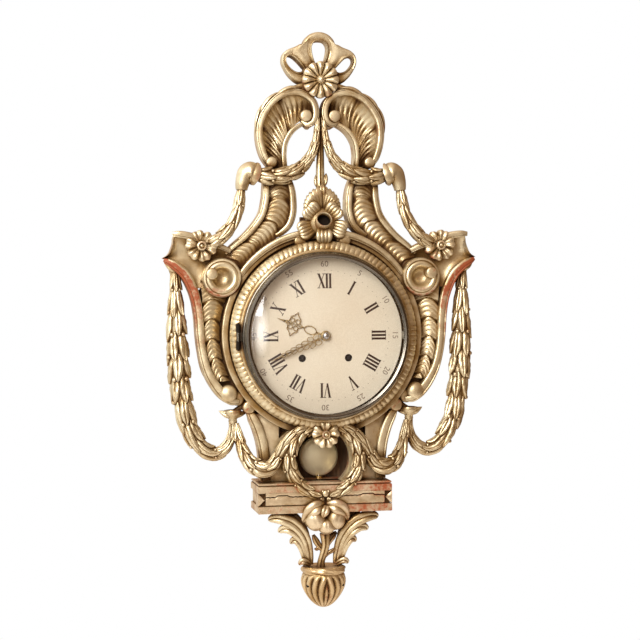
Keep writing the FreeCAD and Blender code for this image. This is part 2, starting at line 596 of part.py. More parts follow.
glass_rim = SIGHT_RADIUS - 0.5
glass = joined(dome(glass_rim, glass_seat - glass_thick, glass_seat, dome_rise),
               disc(0, 0, glass_radius - 0.2, glass_seat - glass_thick, glass_seat)
               .cut(disc(0, 0, glass_rim - 2, glass_seat - glass_thick - 1, glass_seat + 1)))
keep("bezel_glass", glass)
catch = block(glass_radius - 1.4, glass_radius + 0.5, -5, 5, LIP - 6, LIP + 6)
keep("bezel_catch", catch.common(disc(0, 0, glass_radius, 0, BEZEL_FRONT)))


# Dial plate: enamelled, a little domed, pierced for the hands and the two winding squares, with four feet

WIND_X, WIND_Z, WIND_HOLE = 30.0, -28.6, 4.8
dial_radius, dial_edge, dial_rise, dial_thick, pipe_hole = SIGHT_RADIUS + 1.5, LEDGE + 9, 3.0, 1.2, 4.2
dial = dome(dial_radius, dial_edge - dial_thick, dial_edge, dial_rise)
dial = dial.cut(disc(0, 0, pipe_hole, LEDGE, LIP))
for side in (-1, 1):
    dial = dial.cut(disc(side * WIND_X, WIND_Z, WIND_HOLE, LEDGE, LIP))
feet = [disc(x, z, 2.0, LEDGE, dial_edge + dial_rise - 1.6) for x in (-46, 46) for z in (36, -50)]
keep("dial_plate", joined(dial, *feet))


# Movement: gear making and the places of the arbors

def gear(teeth, module, x, z, back, front, phase, pinion):
    share, tip, addendum = (0.33, 0.6, 0.6) if pinion else (0.43, 0.5, 0.85)
    pitch = teeth * module / 2
    half = math.pi / teeth * share
    flank = ((pitch - 1.25 * module, -1.1), (pitch, -1.0), (pitch + addendum * module, -tip),
             (pitch + addendum * module, tip), (pitch, 1.0), (pitch - 1.25 * module, 1.1))
    points = []
    for tooth in range(teeth):
        middle = math.radians(phase) + 2 * math.pi * tooth / teeth
        for reach, offset in flank:
            angle = middle + half * offset
            points.append((x + reach * math.cos(angle), z + reach * math.sin(angle)))
    return polygon_slab(points, back, front)


def bearing(a, b):
    return math.degrees(math.atan2(b[1] - a[1], b[0] - a[0]))


def meeting(a, reach_a, b, reach_b, side):
    # point at the two given distances from a and b
    gap = math.dist(a, b)
    run = (reach_a ** 2 - reach_b ** 2 + gap ** 2) / (2 * gap)
    rise = math.sqrt(reach_a ** 2 - run ** 2) * side
    ux, uz = (b[0] - a[0]) / gap, (b[1] - a[1]) / gap
    return (a[0] + ux * run - uz * rise, a[1] + uz * run + ux * rise)


centre = (0.0, 0.0)
going, strike = (WIND_X, WIND_Z), (-WIND_X, WIND_Z)
BARREL_MODULE, SECOND_MODULE, THIRD_MODULE, ESCAPE_MODULE = 0.6, 0.5, 0.46, 0.45
BARREL_TEETH, SECOND_LEAVES, SECOND_TEETH, CENTRE_LEAVES = 84, 12, 72, 12
CENTRE_TEETH, THIRD_LEAVES, THIRD_TEETH, ESCAPE_LEAVES = 80, 8, 77, 7
barrel_gap = (BARREL_TEETH + SECOND_LEAVES) * BARREL_MODULE / 2
second_gap = (SECOND_TEETH + CENTRE_LEAVES) * SECOND_MODULE / 2
third_gap = (CENTRE_TEETH + THIRD_LEAVES) * THIRD_MODULE / 2
escape_gap = (THIRD_TEETH + ESCAPE_LEAVES) * ESCAPE_MODULE / 2
second = meeting(centre, second_gap, going, barrel_gap, 1)
pin_place = (-second[0], second[1])
third = (third_gap * math.cos(math.radians(60)), third_gap * math.sin(math.radians(60)))
escape = (0.0, third[1] + math.sqrt(escape_gap ** 2 - third[0] ** 2))
verge = (0.0, escape[1] + 15.5)
MOTION_MODULE, HOUR_MODULE = 0.5, 0.48
CANNON_LEAVES, MINUTE_TEETH, MINUTE_LEAVES, HOUR_TEETH = 12, 36, 10, 40
motion_gap = (CANNON_LEAVES + MINUTE_TEETH) * MOTION_MODULE / 2
minute_stud = (motion_gap * math.cos(math.radians(150)), motion_gap * math.sin(math.radians(150)))
hammer_place = (-50.0, 44.0)

PLATE_THICK, PLATE_GAP = 2.5, 33.5
plate_front_back = LEDGE - PLATE_THICK
plate_back = plate_front_back - PLATE_GAP
plate_rear = plate_back - PLATE_THICK
plate_x, plate_z0, plate_z1 = 60.0, -58.0, 58.0
arbor_back, arbor_front = plate_rear + 0.2, LEDGE - 0.2
SLIM, CENTRE_R, WIND_R = 1.2, 1.5, 3.0
pivots = [(going, WIND_R), (strike, WIND_R), (second, SLIM), (centre, CENTRE_R), (third, SLIM), (escape, 0.9),
          (verge, SLIM), (pin_place, SLIM), (hammer_place, SLIM)]


def plate(back, front):
    shape = block(-plate_x, plate_x, plate_z0, plate_z1, back, front)
    for place, radius in pivots:
        shape = shape.cut(disc(place[0], place[1], radius + RUNNING, back - 1, front + 1))
    return shape


stud_radius = 1.0
front_plate = plate(plate_front_back, LEDGE)
front_plate = joined(front_plate, disc(minute_stud[0], minute_stud[1], stud_radius, LEDGE - 1, LEDGE + 7.5))
keep("front_plate", front_plate)
keep("back_plate", plate(plate_rear, plate_back))
pillar_inset = 7.0
pillar_places = [(side * (plate_x - pillar_inset), z) for side in (-1, 1)
                 for z in (plate_z0 + pillar_inset, plate_z1 - pillar_inset)]
pillar_profile = [(0, plate_back), (4.5, plate_back), (4.5, plate_back + 4), (3, plate_back + 7),
                  (3, plate_front_back - 7), (4.5, plate_front_back - 4), (4.5, plate_front_back),
                  (0, plate_front_back)]
keep("pillars", Part.makeCompound([turned(pillar_profile, x, z) for x, z in pillar_places]))


# Movement straps across the ledge, and every screw of the movement

strap_thick, strap_half, strap_in, strap_out = 2.5, 7.0, plate_x - 12, OPENING_RADIUS - 2
strap_piece = block(strap_in, strap_out, -strap_half, strap_half, LEDGE, LEDGE + strap_thick)
keep("movement_straps", Part.makeCompound([strap_piece, mirrored(strap_piece)]))


def screw_head(x, z, forward, way):
    head = disc(x, z, 2.6, min(forward, forward + way * 1.6), max(forward, forward + way * 1.6))
    slot_depth = forward + way * 1.0
    return head.cut(block(x - 4, x + 4, z - 0.4, z + 0.4, min(slot_depth, slot_depth + way * 2),
                          max(slot_depth, slot_depth + way * 2)))


screws = [screw_head(x, z, plate_rear, -1) for x, z in pillar_places]
screws += [screw_head(x, z, LEDGE, 1) for x, z in pillar_places]
strap_screw_in, strap_screw_out = strap_in + 6, strap_out - 3.2
screws += [screw_head(side * x, 0, LEDGE + strap_thick, 1) for side in (-1, 1)
           for x in (strap_screw_in, strap_screw_out)]
keep("movement_screws", Part.makeCompound(screws))


# Going train: barrel, intermediate, centre, third and escape wheels

drum_r, wheel_back, wheel_thick, drum_front = 20.0, plate_back + 6, 2.5, plate_front_back - 2

# Levels of the wheels and pinions, back and front, forward of the back plate
SECOND_WHEEL, SECOND_PINION = (2.0, 3.8), (5.0, 9.5)
CENTRE_PINION, CENTRE_WHEEL = (1.0, 4.8), (27.0, 28.6)
THIRD_PINION, THIRD_WHEEL = (25.5, 30.0), (19.0, 20.5)
ESCAPE_PINION, ESCAPE_WHEEL = (17.5, 22.0), (9.5, 11.0)
ANCHOR_LEVEL = (9.0, 11.5)
PIN_WHEEL, PIN_LEVEL, TAIL_LEVEL = (2.0, 3.5), (3.0, 4.6), (3.8, 5.0)


def barrel(place, phase):
    shape = joined(gear(BARREL_TEETH, BARREL_MODULE, place[0], place[1], wheel_back, wheel_back + wheel_thick,
                        phase, False),
                   disc(place[0], place[1], drum_r, wheel_back + wheel_thick, drum_front))
    return shape.cut(disc(place[0], place[1], WIND_R + RUNNING, wheel_back - 1, drum_front + 1))


def winding_arbor(place):
    square = 2.05
    teeth, reach = 18, 9.0
    points = []
    for tooth in range(teeth):
        for radius, share in ((reach, 0.0), (reach - 1.8, 0.12)):
            angle = 2 * math.pi * (tooth + share) / teeth
            points.append((place[0] + radius * math.cos(angle), place[1] + radius * math.sin(angle)))
    ratchet = polygon_slab(points, LEDGE + 0.6, LEDGE + 2.6)
    winding_square = block(place[0] - square, place[0] + square, place[1] - square, place[1] + square,
                           LEDGE + 2, dial_edge + 1.5)
    return joined(disc(place[0], place[1], WIND_R, arbor_back, LEDGE + 3), ratchet, winding_square)


def arbor(place, radius, back, front):
    return disc(place[0], place[1], radius, back, front)


def crossed(wheel, place, reach):
    # four round crossings lighten a wheel
    for quarter in range(4):
        angle = math.radians(45 + 90 * quarter)
        across, up = reach * 0.58 * math.cos(angle), reach * 0.58 * math.sin(angle)
        wheel = wheel.cut(disc(place[0] + across, place[1] + up, reach * 0.27, 0, LIP))
    return wheel


def at_level(level):
    return [plate_back + rise for rise in level]


def wheel_on(place, teeth, module, level, phase):
    back, front = at_level(level)
    return crossed(gear(teeth, module, place[0], place[1], back, front, phase, False), place,
                   teeth * module / 2)


def pinion_between(place, leaves, module, back, front, driver):
    phase = bearing(driver, place) + 180 + 180.0 / leaves
    return gear(leaves, module, place[0], place[1], back, front, phase, True)


def pinion_on(place, leaves, module, level, driver):
    back, front = at_level(level)
    return pinion_between(place, leaves, module, back, front, driver)


keep("going_barrel", barrel(going, bearing(going, second)))
keep("strike_barrel", barrel(strike, bearing(strike, pin_place)))
keep("going_arbor", winding_arbor(going))
keep("strike_arbor", winding_arbor(strike))
keep("intermediate_wheel", joined(arbor(second, SLIM, arbor_back, arbor_front),
                                  pinion_on(second, SECOND_LEAVES, BARREL_MODULE, SECOND_PINION, going),
                                  wheel_on(second, SECOND_TEETH, SECOND_MODULE, SECOND_WHEEL,
                                           bearing(second, centre))))
hand_thick, hand_lift, hand_gap, nut_length = 1.2, 0.9, 1.9, 3.6
hour_back = dial_edge + dial_rise + hand_lift
minute_back = hour_back + hand_thick + hand_gap
centre_nose = minute_back + hand_thick + 1.3
keep("centre_wheel", joined(arbor(centre, CENTRE_R, arbor_back, centre_nose),
                            pinion_on(centre, CENTRE_LEAVES, SECOND_MODULE, CENTRE_PINION, second),
                            wheel_on(centre, CENTRE_TEETH, THIRD_MODULE, CENTRE_WHEEL,
                                     bearing(centre, third))))
keep("third_wheel", joined(arbor(third, SLIM, arbor_back, arbor_front),
                           pinion_on(third, THIRD_LEAVES, THIRD_MODULE, THIRD_PINION, centre),
                           wheel_on(third, THIRD_TEETH, ESCAPE_MODULE, THIRD_WHEEL, bearing(third, escape))))
escape_radius, escape_teeth = 11.0, 36
escape_points = []
for tooth in range(escape_teeth):
    for reach, share in ((escape_radius, 0.0), (escape_radius - 1.8, 0.25), (escape_radius - 1.8, 0.8)):
        angle = 2 * math.pi * (tooth + share) / escape_teeth
        escape_points.append((escape[0] + reach * math.cos(angle), escape[1] + reach * math.sin(angle)))
keep("escape_wheel", joined(arbor(escape, 0.9, arbor_back, arbor_front),
                            pinion_on(escape, ESCAPE_LEAVES, ESCAPE_MODULE, ESCAPE_PINION, third),
                            crossed(polygon_slab(escape_points, *at_level(ESCAPE_WHEEL)), escape,
                                    escape_radius)))


# Anchor with crutch, suspension and pendulum

crutch_back, crutch_front, rod_radius = plate_rear - 4, plate_rear - 2, 1.5
pendulum_plane = plate_rear - 7.5
vz = verge[1]
anchor_shape = [(-3, vz + 2.5), (3, vz + 2.5), (11.5, vz - 4.5), (11.0, vz - 7.5), (9.6, vz - 7.0),
                (8.5, vz - 4.0), (2.0, vz - 2.5), (-2.0, vz - 2.5), (-8.5, vz - 4.0), (-9.6, vz - 7.0),
                (-11.0, vz - 7.5), (-11.5, vz - 4.5)]
crutch_foot = vz - 40.0
fork = block(-4, 4, crutch_foot - 3, crutch_foot + 3, pendulum_plane - 3, crutch_front)
fork_slot = rod_radius + JOINT_GAP
fork = fork.cut(block(-fork_slot, fork_slot, crutch_foot - 4, crutch_foot + 4, 0, pendulum_plane + 2))
anchor = joined(arbor(verge, SLIM, crutch_back, arbor_front),
                polygon_slab(anchor_shape, *at_level(ANCHOR_LEVEL)),
                block(-1.5, 1.5, crutch_foot, vz, crutch_back, crutch_front), fork)
keep("anchor", anchor)
cock_low = vz + 2.5
cock = joined(block(-10, 10, cock_low, cock_low + 8, crutch_front, plate_rear),
              block(-4, 4, cock_low, cock_low + 6, pendulum_plane - 5, crutch_front + 0.5))
cock_slit = block(-0.6, 0.6, cock_low - 1, cock_low + 3.5, pendulum_plane - 3.5, pendulum_plane + 3.5)
keep("suspension_cock", cock.cut(cock_slit))
spring_foot = vz - 10.0
spring_leaf = block(-0.15, 0.15, spring_foot - 1, cock_low + 2.5, pendulum_plane - 3, pendulum_plane + 3)
spring_clip = block(-2, 2, spring_foot - 5, spring_foot, pendulum_plane - 3.5, pendulum_plane + 2.6)
keep("suspension_spring", joined(spring_leaf, spring_clip))
bob_radius, bob_half = 26.0, 6.0
rod_foot = WINDOW_Z - bob_radius - 9.0
rod_length = spring_foot - 5 - rod_foot
keep("pendulum_rod", Part.makeCylinder(rod_radius, rod_length, Vector(0, -pendulum_plane, rod_foot),
                                       Vector(0, 0, 1)))
lens = turned([(0, pendulum_plane - bob_half), (bob_radius * 0.55, pendulum_plane - bob_half * 0.8),
               (bob_radius, pendulum_plane - 1), (bob_radius, pendulum_plane + 1),
               (bob_radius * 0.55, pendulum_plane + bob_half * 0.8), (0, pendulum_plane + bob_half)], 0,
               WINDOW_Z)
rod_bore = Part.makeCylinder(rod_radius + RUNNING, 90, Vector(0, -pendulum_plane, WINDOW_Z - 45),
                             Vector(0, 0, 1))
keep("pendulum_bob", lens.cut(rod_bore))
nut_top = WINDOW_Z - bob_radius - 0.2
keep("rating_nut", upright([(rod_radius + RUNNING, nut_top - 4.5), (5, nut_top - 4.5), (5, nut_top - 1),
                            (3, nut_top), (rod_radius + RUNNING, nut_top)], 0, pendulum_plane))


# Strike work: pin wheel, hammer, bell and its post

pin_reach, pin_wheel_teeth, pin_count, lift_pin = 11.0, 60, 8, 0.75
pin_wheel = joined(arbor(pin_place, SLIM, arbor_back, arbor_front),
                   pinion_on(pin_place, SECOND_LEAVES, BARREL_MODULE, SECOND_PINION, strike),
                   gear(pin_wheel_teeth, ESCAPE_MODULE, pin_place[0], pin_place[1], *at_level(PIN_WHEEL), 0,
                        False),
                   *[disc(pin_place[0] + pin_reach * math.cos(2 * math.pi * pin / pin_count),
                          pin_place[1] + pin_reach * math.sin(2 * math.pi * pin / pin_count),
                          lift_pin, *at_level(PIN_LEVEL))
                     for pin in range(pin_count)])
keep("pin_wheel", pin_wheel)
bell_x, bell_z, bell_radius, bell_wall, bell_bore = -22.0, 4.0, 28.0, 1.6, 3.1
bell_top, bell_mouth = BOARD_THICK + 3, pendulum_plane - 5
bell_depth = bell_mouth - bell_top
bell_outer = [(bell_radius, bell_mouth), (bell_radius - 1.5, bell_mouth - 0.36 * bell_depth),
              (bell_radius - 6, bell_mouth - 0.71 * bell_depth), (bell_radius - 14, bell_top + 1),
              (bell_bore, bell_top)]
bell_inner = [(bell_bore, bell_top + bell_wall), (bell_radius - 14, bell_top + 1 + bell_wall),
              (bell_radius - 7.6, bell_mouth - 0.64 * bell_depth),
              (bell_radius - 3, bell_mouth - 0.33 * bell_depth), (bell_radius - bell_wall, bell_mouth)]
keep("bell", turned(bell_outer + bell_inner, bell_x, bell_z))
post_shoulder, post_neck = bell_top + bell_wall + 0.2, bell_bore - 0.1
keep("bell_post", turned([(0, bell_top - 2), (5, bell_top - 2), (5, bell_top), (post_neck, bell_top),
                          (post_neck, post_shoulder), (4.2, post_shoulder), (4.2, plate_rear),
                          (0, plate_rear)],
                         bell_x, bell_z))
head_x, head_z = bell_x - bell_radius - 4.6, bell_z
reach_to_pin = math.dist(hammer_place, pin_place) - pin_reach - lift_pin - 0.6
toward = math.radians(bearing(hammer_place, pin_place))
tail_half = 1.5


def toward_pin(reach):
    return (hammer_place[0] + reach * math.cos(toward), hammer_place[1] + reach * math.sin(toward))


tail_line = [hammer_place, toward_pin(reach_to_pin / 2), toward_pin(reach_to_pin - tail_half)]
arm_middle = ((hammer_place[0] + head_x) / 2, (hammer_place[1] + head_z) / 2)
arm_back = bell_mouth - 5
hammer = joined(arbor(hammer_place, SLIM, arm_back, arbor_front),
                strap(tail_line, 2 * tail_half, *at_level(TAIL_LEVEL)),
                strap([hammer_place, arm_middle, (head_x, head_z)], 2.6, arm_back, arm_back + 2.2),
                disc(head_x, head_z, 4.0, bell_mouth - 8, bell_mouth))
keep("hammer", hammer)


# Motion work and hands, which rest at nineteen minutes to ten

pipe_r, hour_pipe_r = 2.2, 3.2
cannon = joined(pinion_between(centre, CANNON_LEAVES, MOTION_MODULE, LEDGE + 0.6, LEDGE + 3.2, minute_stud),
                disc(0, 0, pipe_r, LEDGE + 0.6, minute_back + hand_thick))
keep("cannon_pinion", cannon.cut(disc(0, 0, CENTRE_R + RUNNING, LEDGE, LIP + 10)))
minute_wheel = joined(gear(MINUTE_TEETH, MOTION_MODULE, minute_stud[0], minute_stud[1], LEDGE + 1,
                           LEDGE + 2.4, bearing(minute_stud, centre), False),
                      pinion_between(minute_stud, MINUTE_LEAVES, HOUR_MODULE, LEDGE + 2.4, LEDGE + 6.5,
                                     centre))
keep("minute_wheel", minute_wheel.cut(disc(minute_stud[0], minute_stud[1], stud_radius + RUNNING, LEDGE,
                                           LIP)))
hour_wheel = joined(gear(HOUR_TEETH, HOUR_MODULE, 0, 0, LEDGE + 4.4, LEDGE + 5.8,
                         bearing(centre, minute_stud), False),
                    disc(0, 0, hour_pipe_r, LEDGE + 4.4, hour_back + hand_thick + 0.5))
keep("hour_wheel", hour_wheel.cut(disc(0, 0, pipe_r + RUNNING, LEDGE, LIP + 10)))
MINUTES_PAST, HOUR_SHOWN = 41.0, 9
hour_profile = [(3, 5.2), (8, 3.2), (13, 2.2), (17, 4.5), (22, 9.5), (29, 12.5), (36, 10.5), (41, 5),
                (46, 2.6), (53, 2.2), (60, 1.2), (66, 0.3)]
hour_holes = [(23, 4.4, 2.8), (31.5, 5.8, 3.4), (37, 0, 2.2), (27, 0, 1.4)]
minute_profile = [(3, 4.8), (8, 2.8), (12, 5), (17, 8), (23, 7), (29, 3.2), (36, 2.2), (50, 1.8), (64, 1.2),
                  (77, 0.3)]
minute_holes = [(16.5, 3.6, 2.0), (22, 3.0, 1.8)]


def hand(profile, holes, hub, bore, back, turn):
    sides = [[(sign * width, reach) for reach, width in profile] for sign in (1, -1)]
    blade = slab([curve(sides[0]).toShape(), curve(sides[1]).toShape(), line(sides[0][0], sides[1][0]),
                  line(sides[0][-1], sides[1][-1])], back, back + hand_thick)
    for reach, offset, radius in holes:
        for sign in ((1, -1) if offset else (1,)):
            blade = blade.cut(disc(sign * offset, reach, radius, back - 1, back + 3))
    shape = joined(blade, disc(0, 0, hub, back, back + hand_thick)).cut(disc(0, 0, bore, back - 1, back + 3))
    shape.rotate(Vector(0, 0, 0), Vector(0, 1, 0), turn)
    return shape


HAND_FIT = 0.02
hour_turn, minute_turn = 30 * (HOUR_SHOWN + MINUTES_PAST / 60), 6 * MINUTES_PAST
keep("hour_hand", hand(hour_profile, hour_holes, 6.5, hour_pipe_r + HAND_FIT, hour_back, hour_turn))
keep("minute_hand", hand(minute_profile, minute_holes, 6.0, pipe_r + HAND_FIT, minute_back, minute_turn))
nut_back = minute_back + hand_thick
keep("hand_nut", turned([(CENTRE_R + RUNNING, nut_back), (4.5, nut_back), (4.5, nut_back + 1.2),
                         (3.2, nut_back + 3), (0, nut_back + nut_length), (0, nut_back + 2.2),
                         (CENTRE_R + RUNNING, nut_back + 2.2)]))


for name, shape in solids.items():
    shape.exportStep("parts/" + name + ".step")
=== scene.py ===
import math
import random

import bmesh
import bpy
import numpy as np
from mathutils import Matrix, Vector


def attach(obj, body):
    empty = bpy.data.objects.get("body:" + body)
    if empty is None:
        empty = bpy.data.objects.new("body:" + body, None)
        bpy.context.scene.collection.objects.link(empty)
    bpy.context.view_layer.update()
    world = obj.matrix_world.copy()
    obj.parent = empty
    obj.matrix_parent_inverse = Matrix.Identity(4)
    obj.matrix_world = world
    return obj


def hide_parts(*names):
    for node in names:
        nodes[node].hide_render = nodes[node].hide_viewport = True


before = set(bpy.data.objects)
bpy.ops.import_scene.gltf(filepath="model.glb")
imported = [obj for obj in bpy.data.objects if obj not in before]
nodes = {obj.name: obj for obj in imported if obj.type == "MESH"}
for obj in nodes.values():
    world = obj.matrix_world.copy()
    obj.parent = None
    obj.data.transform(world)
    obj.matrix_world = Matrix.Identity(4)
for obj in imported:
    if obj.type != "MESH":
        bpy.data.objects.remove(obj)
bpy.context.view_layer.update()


# Case: back board and rim, plain softwood glued up behind the carving, stained brown and never gilded.
# The solids of the frame stay as they are and get their timber here.

def add_node(tree, kind, inputs=(), **settings):
    # an input is a plain value or another node's output
    made = tree.nodes.new("ShaderNode" + kind)
    for name, value in settings.items():
        setattr(made, name, value)
    for key, value in dict(inputs).items():
        if isinstance(value, bpy.types.NodeSocket):
            tree.links.new(value, made.inputs[key])
        else:
            made.inputs[key].default_value = value
    return made


def colour_mix(tree, share, first, second):
    return add_node(tree, "Mix", {0: share, 6: first, 7: second}, data_type="RGBA").outputs[2]


def value_mix(tree, share, first, second):
    return add_node(tree, "Mix", {0: share, 2: first, 3: second}, data_type="FLOAT").outputs[0]


def spread(tree, value, low, high, start=0.0, end=1.0):
    # low..high of the value becomes start..end
    return add_node(tree, "MapRange", {0: value, 1: low, 2: high, 3: start, 4: end}).outputs[0]


def figure(tree, operation, first, second):
    return add_node(tree, "Math", {0: first, 1: second}, operation=operation).outputs[0]


def times(tree, first, second):
    return figure(tree, "MULTIPLY", first, second)


def plus(tree, first, second):
    return figure(tree, "ADD", first, second)


def noise(tree, place, scale, detail):
    return add_node(tree, "TexNoise", {"Vector": place, "Scale": scale, "Detail": detail}).outputs[0]


def new_group(name, inputs, outputs):
    group = bpy.data.node_groups.new(name, "ShaderNodeTree")
    for label, kind, value in inputs:
        made = group.interface.new_socket(label, in_out="INPUT", socket_type="NodeSocket" + kind)
        made.default_value = value
    for label, kind in outputs:
        group.interface.new_socket(label, in_out="OUTPUT", socket_type="NodeSocket" + kind)
    return group, group.nodes.new("NodeGroupInput").outputs, group.nodes.new("NodeGroupOutput").inputs


def give(group, result, *values):
    # ends a group: its outputs in their order
    for value, socket in zip(values, result):
        group.links.new(value, socket)
    return group


def blank_material(name):
    material = bpy.data.materials.new(name)
    material.use_nodes = True
    material.node_tree.nodes.clear()
    return material, material.node_tree


def show(tree, shader):
    tree.links.new(shader.outputs[0], add_node(tree, "OutputMaterial").inputs[0])


BUMP_DEPTH = 0.001


def make_finish(name, group, values, bump, **even):
    # colour, roughness and relief that change over the surface come from a group, the rest are even values
    material, tree = blank_material(name)
    coat = add_node(tree, "Group", values, node_tree=group)
    shader = add_node(tree, "BsdfPrincipled", {key.replace("_", " "): value for key, value in even.items()})
    for label in ("Base Color", "Roughness", "Metallic"):
        if label in coat.outputs:
            tree.links.new(coat.outputs[label], shader.inputs[label])
    relief = add_node(tree, "Bump", {"Strength": bump, "Distance": BUMP_DEPTH,
                                     "Height": coat.outputs["Height"]})
    tree.links.new(relief.outputs[0], shader.inputs["Normal"])
    show(tree, shader)
    return material


SURFACE = (("Base Color", "Color"), ("Roughness", "Float"), ("Height", "Float"))


def board_grain():
    group, given, result = new_group(
        "board_grain",
        (("Pale", "Color", (0.30, 0.17, 0.08, 1)), ("Dark", "Color", (0.11, 0.055, 0.022, 1))),
        SURFACE)
    place = add_node(group, "TexCoord").outputs["Object"]
    drawn_out = add_node(group, "VectorMath", {0: place, 1: (26.0, 26.0, 2.2)},
                         operation="MULTIPLY").outputs[0]
    broad = noise(group, drawn_out, 2.5, 6)
    pores = noise(group, drawn_out, 34, 3)
    stain = noise(group, place, 9, 3)
    rings = spread(group, figure(group, "SINE", times(group, broad, 34), 0), -1, 1)
    tone = plus(group, times(group, rings, 0.45), times(group, stain, 0.7))
    timber = colour_mix(group, spread(group, tone, 0.2, 0.95), given["Dark"], given["Pale"])
    pored = colour_mix(group, spread(group, pores, 0.56, 0.72, 0, 0.6), timber, given["Dark"])
    relief = figure(group, "SUBTRACT", times(group, rings, 0.3), pores)
    return give(group, result, pored, spread(group, pores, 0.3, 0.7, 0.58, 0.82), relief)


def dress(material, slot_names):
    # a solid of the frame keeps its shape and takes this finish
    for name in slot_names:
        nodes[name].data.materials.clear()
        nodes[name].data.materials.append(material)


case_wood = make_finish("case_wood", board_grain(), {}, 0.35, Metallic=0.0)
dress(case_wood, ["case_rim", "back_board"])


# Dial surround: turned ring of limewood with a reeded ovolo, plain outer band and curled brow straps, and
# the waist board below it. Gesso, red bole and burnished gold leaf, rubbed through on the edges, toned at
# random, and darkened in the hollows with painted shade.

def worn_gilding():
    # painted shade: where ambient occlusion finds a hollow the leaf darkens to glaze brown, then near-black
    group, given, result = new_group(
        "worn_gilding",
        (("Leaf", "Color", (0.79, 0.695, 0.475, 1)), ("Shade_Glaze", "Color", (0.34, 0.20, 0.058, 1)),
         ("Bole", "Color", (0.33, 0.085, 0.032, 1)), ("Shade_Grime", "Color", (0.075, 0.029, 0.005, 1)),
         ("Rub", "Float", 0.16), ("Hollow_Shade", "Float", 1.25)),
        SURFACE + (("Metallic", "Float"),))
    place = add_node(group, "TexCoord").outputs["Object"]
    cloud = noise(group, place, 46, 7)
    fleck = noise(group, place, 230, 4)
    grain = noise(group, place, 1300, 2)
    open_air = add_node(group, "AmbientOcclusion", {"Distance": 0.0135}, samples=8).outputs["AO"]
    edge = spread(group, add_node(group, "NewGeometry").outputs["Pointiness"], 0.515, 0.585)
    laid_bare = add_node(group, "Attribute", attribute_name="bole").outputs["Fac"]
    wear = plus(group, times(group, fleck, 0.7), times(group, cloud, 0.6))
    wear = plus(group, wear, times(group, edge, 0.3))
    wear = plus(group, wear, times(group, laid_bare, 0.75))
    worn = spread(group, plus(group, wear, given["Rub"]), 1.08, 1.38)
    # painted shade: the more shut in by nearby surfaces, the darker, scaled by the hollow shade amount
    hollow = times(group, figure(group, "SUBTRACT", 1.0, open_air), given["Hollow_Shade"])
    half_shaded = spread(group, plus(group, hollow, times(group, cloud, 1.1)), 0.46, 0.98)
    patina_and_shade = spread(group, plus(group, hollow, times(group, cloud, 0.35)), 0.42, 0.92)
    leaf = colour_mix(group, half_shaded, given["Leaf"], given["Shade_Glaze"])
    rubbed = colour_mix(group, worn, leaf, given["Bole"])
    shade_darkened = colour_mix(group, patina_and_shade, rubbed, given["Shade_Grime"])
    polish = value_mix(group, worn, spread(group, fleck, 0.3, 0.7, 0.31, 0.44), 0.55)
    metal = value_mix(group, patina_and_shade, value_mix(group, worn, 0.78, 0.1), 0.2)
    relief = plus(group, fleck, times(group, grain, 0.4))
    return give(group, result, shade_darkened, value_mix(group, patina_and_shade, polish, 0.75), relief, metal)


gilding = worn_gilding()


def gilt_finish(name, changes, coat=0.15, coat_roughness=0.3, bump=0.05, sheen=0.25):
    return make_finish(name, gilding, changes, bump, Specular_IOR_Level=sheen, Coat_Weight=coat,
                       Coat_Roughness=coat_roughness)


gilt = gilt_finish("gilt_limewood", {})


def smooth_line(stations, count, closed=False):
    # even steps along a smooth curve through the stations, whose first three columns are x, z and forward
    knots = np.array(stations, float)
    if closed:
        knots = np.vstack([knots[-1:], knots, knots[:2]])
    else:
        knots = np.vstack([2 * knots[:1] - knots[1:2], knots, 2 * knots[-1:] - knots[-2:-1]])
    share = np.linspace(0, 1, 25)[:-1, None]
    legs = []
    for a, b, c, d in zip(knots, knots[1:], knots[2:], knots[3:]):
        bend = (2 * a - 5 * b + 4 * c - d) * share ** 2 + (3 * b - a - 3 * c + d) * share ** 3
        legs.append(b + 0.5 * ((c - a) * share + bend))
    dense = np.vstack(legs + [knots[-2:-1]])
    run = np.concatenate([[0], np.cumsum(np.linalg.norm(np.diff(dense[:, :3], axis=0), axis=1))])
    even = np.linspace(0, run[-1], count + closed)[:count]
    return np.stack([np.interp(even, run, column) for column in dense.T], axis=1)


def plan_line(spots, count, closed=False):
    # the same for a flat line of (x, z) spots
    return smooth_line([(x, z, 0) for x, z in spots], count, closed)[:, :2]


def length_of(stations):
    return np.linalg.norm(np.diff(np.array(stations, float)[:, :3], axis=0), axis=1).sum()


def skin(grid, loop=False):
    # closed shell over rows of points: each row runs round, and the rows follow each other or form a loop
    rows, around = grid.shape[:2]
    index = np.arange(rows * around).reshape(rows, around)
    lower = index if loop else index[:-1]
    upper = np.roll(index, -1, axis=0) if loop else index[1:]
    quads = np.stack([lower, np.roll(lower, -1, axis=1), np.roll(upper, -1, axis=1), upper], axis=2)
    faces = quads.reshape(-1, 4).tolist()
    if not loop:
        faces += [index[0][::-1].tolist(), index[-1].tolist()]
    return grid.reshape(-1, 3), faces


def guide(line, loop=False):
    # at each place of a line: the way forward from the wall, square to the line, and the way aside
    ahead = np.roll(line, -1, axis=0) - np.roll(line, 1, axis=0) if loop else np.gradient(line, axis=0)
    tangent = ahead[:, :3] / np.linalg.norm(ahead[:, :3], axis=1)[:, None]
    crown = np.array([0.0, 0.0, 1.0]) - tangent * tangent[:, 2:3]
    crown /= np.linalg.norm(crown, axis=1)[:, None]
    return crown, np.cross(tangent, crown)


def sweep(line, section, loop=False):
    # section: (across, up) at each place along the line; up is the way forward from the wall
    crown, side = guide(line, loop)
    grid = line[:, None, :3] + section[:, :, :1] * side[:, None] + section[:, :, 1:] * crown[:, None]
    return skin(grid, loop)


def full_turn(count):
    return np.linspace(0, 2 * math.pi, count, endpoint=False)


def turned(profile, x, z, sides, loop=False):
    # profile: (radius, forward) pairs turned about an axis that points forward
    turn = full_turn(sides)
    grid = [[(x + r * math.cos(a), z + r * math.sin(a), f) for a in turn] for r, f in profile]
    return skin(np.array(grid), loop)


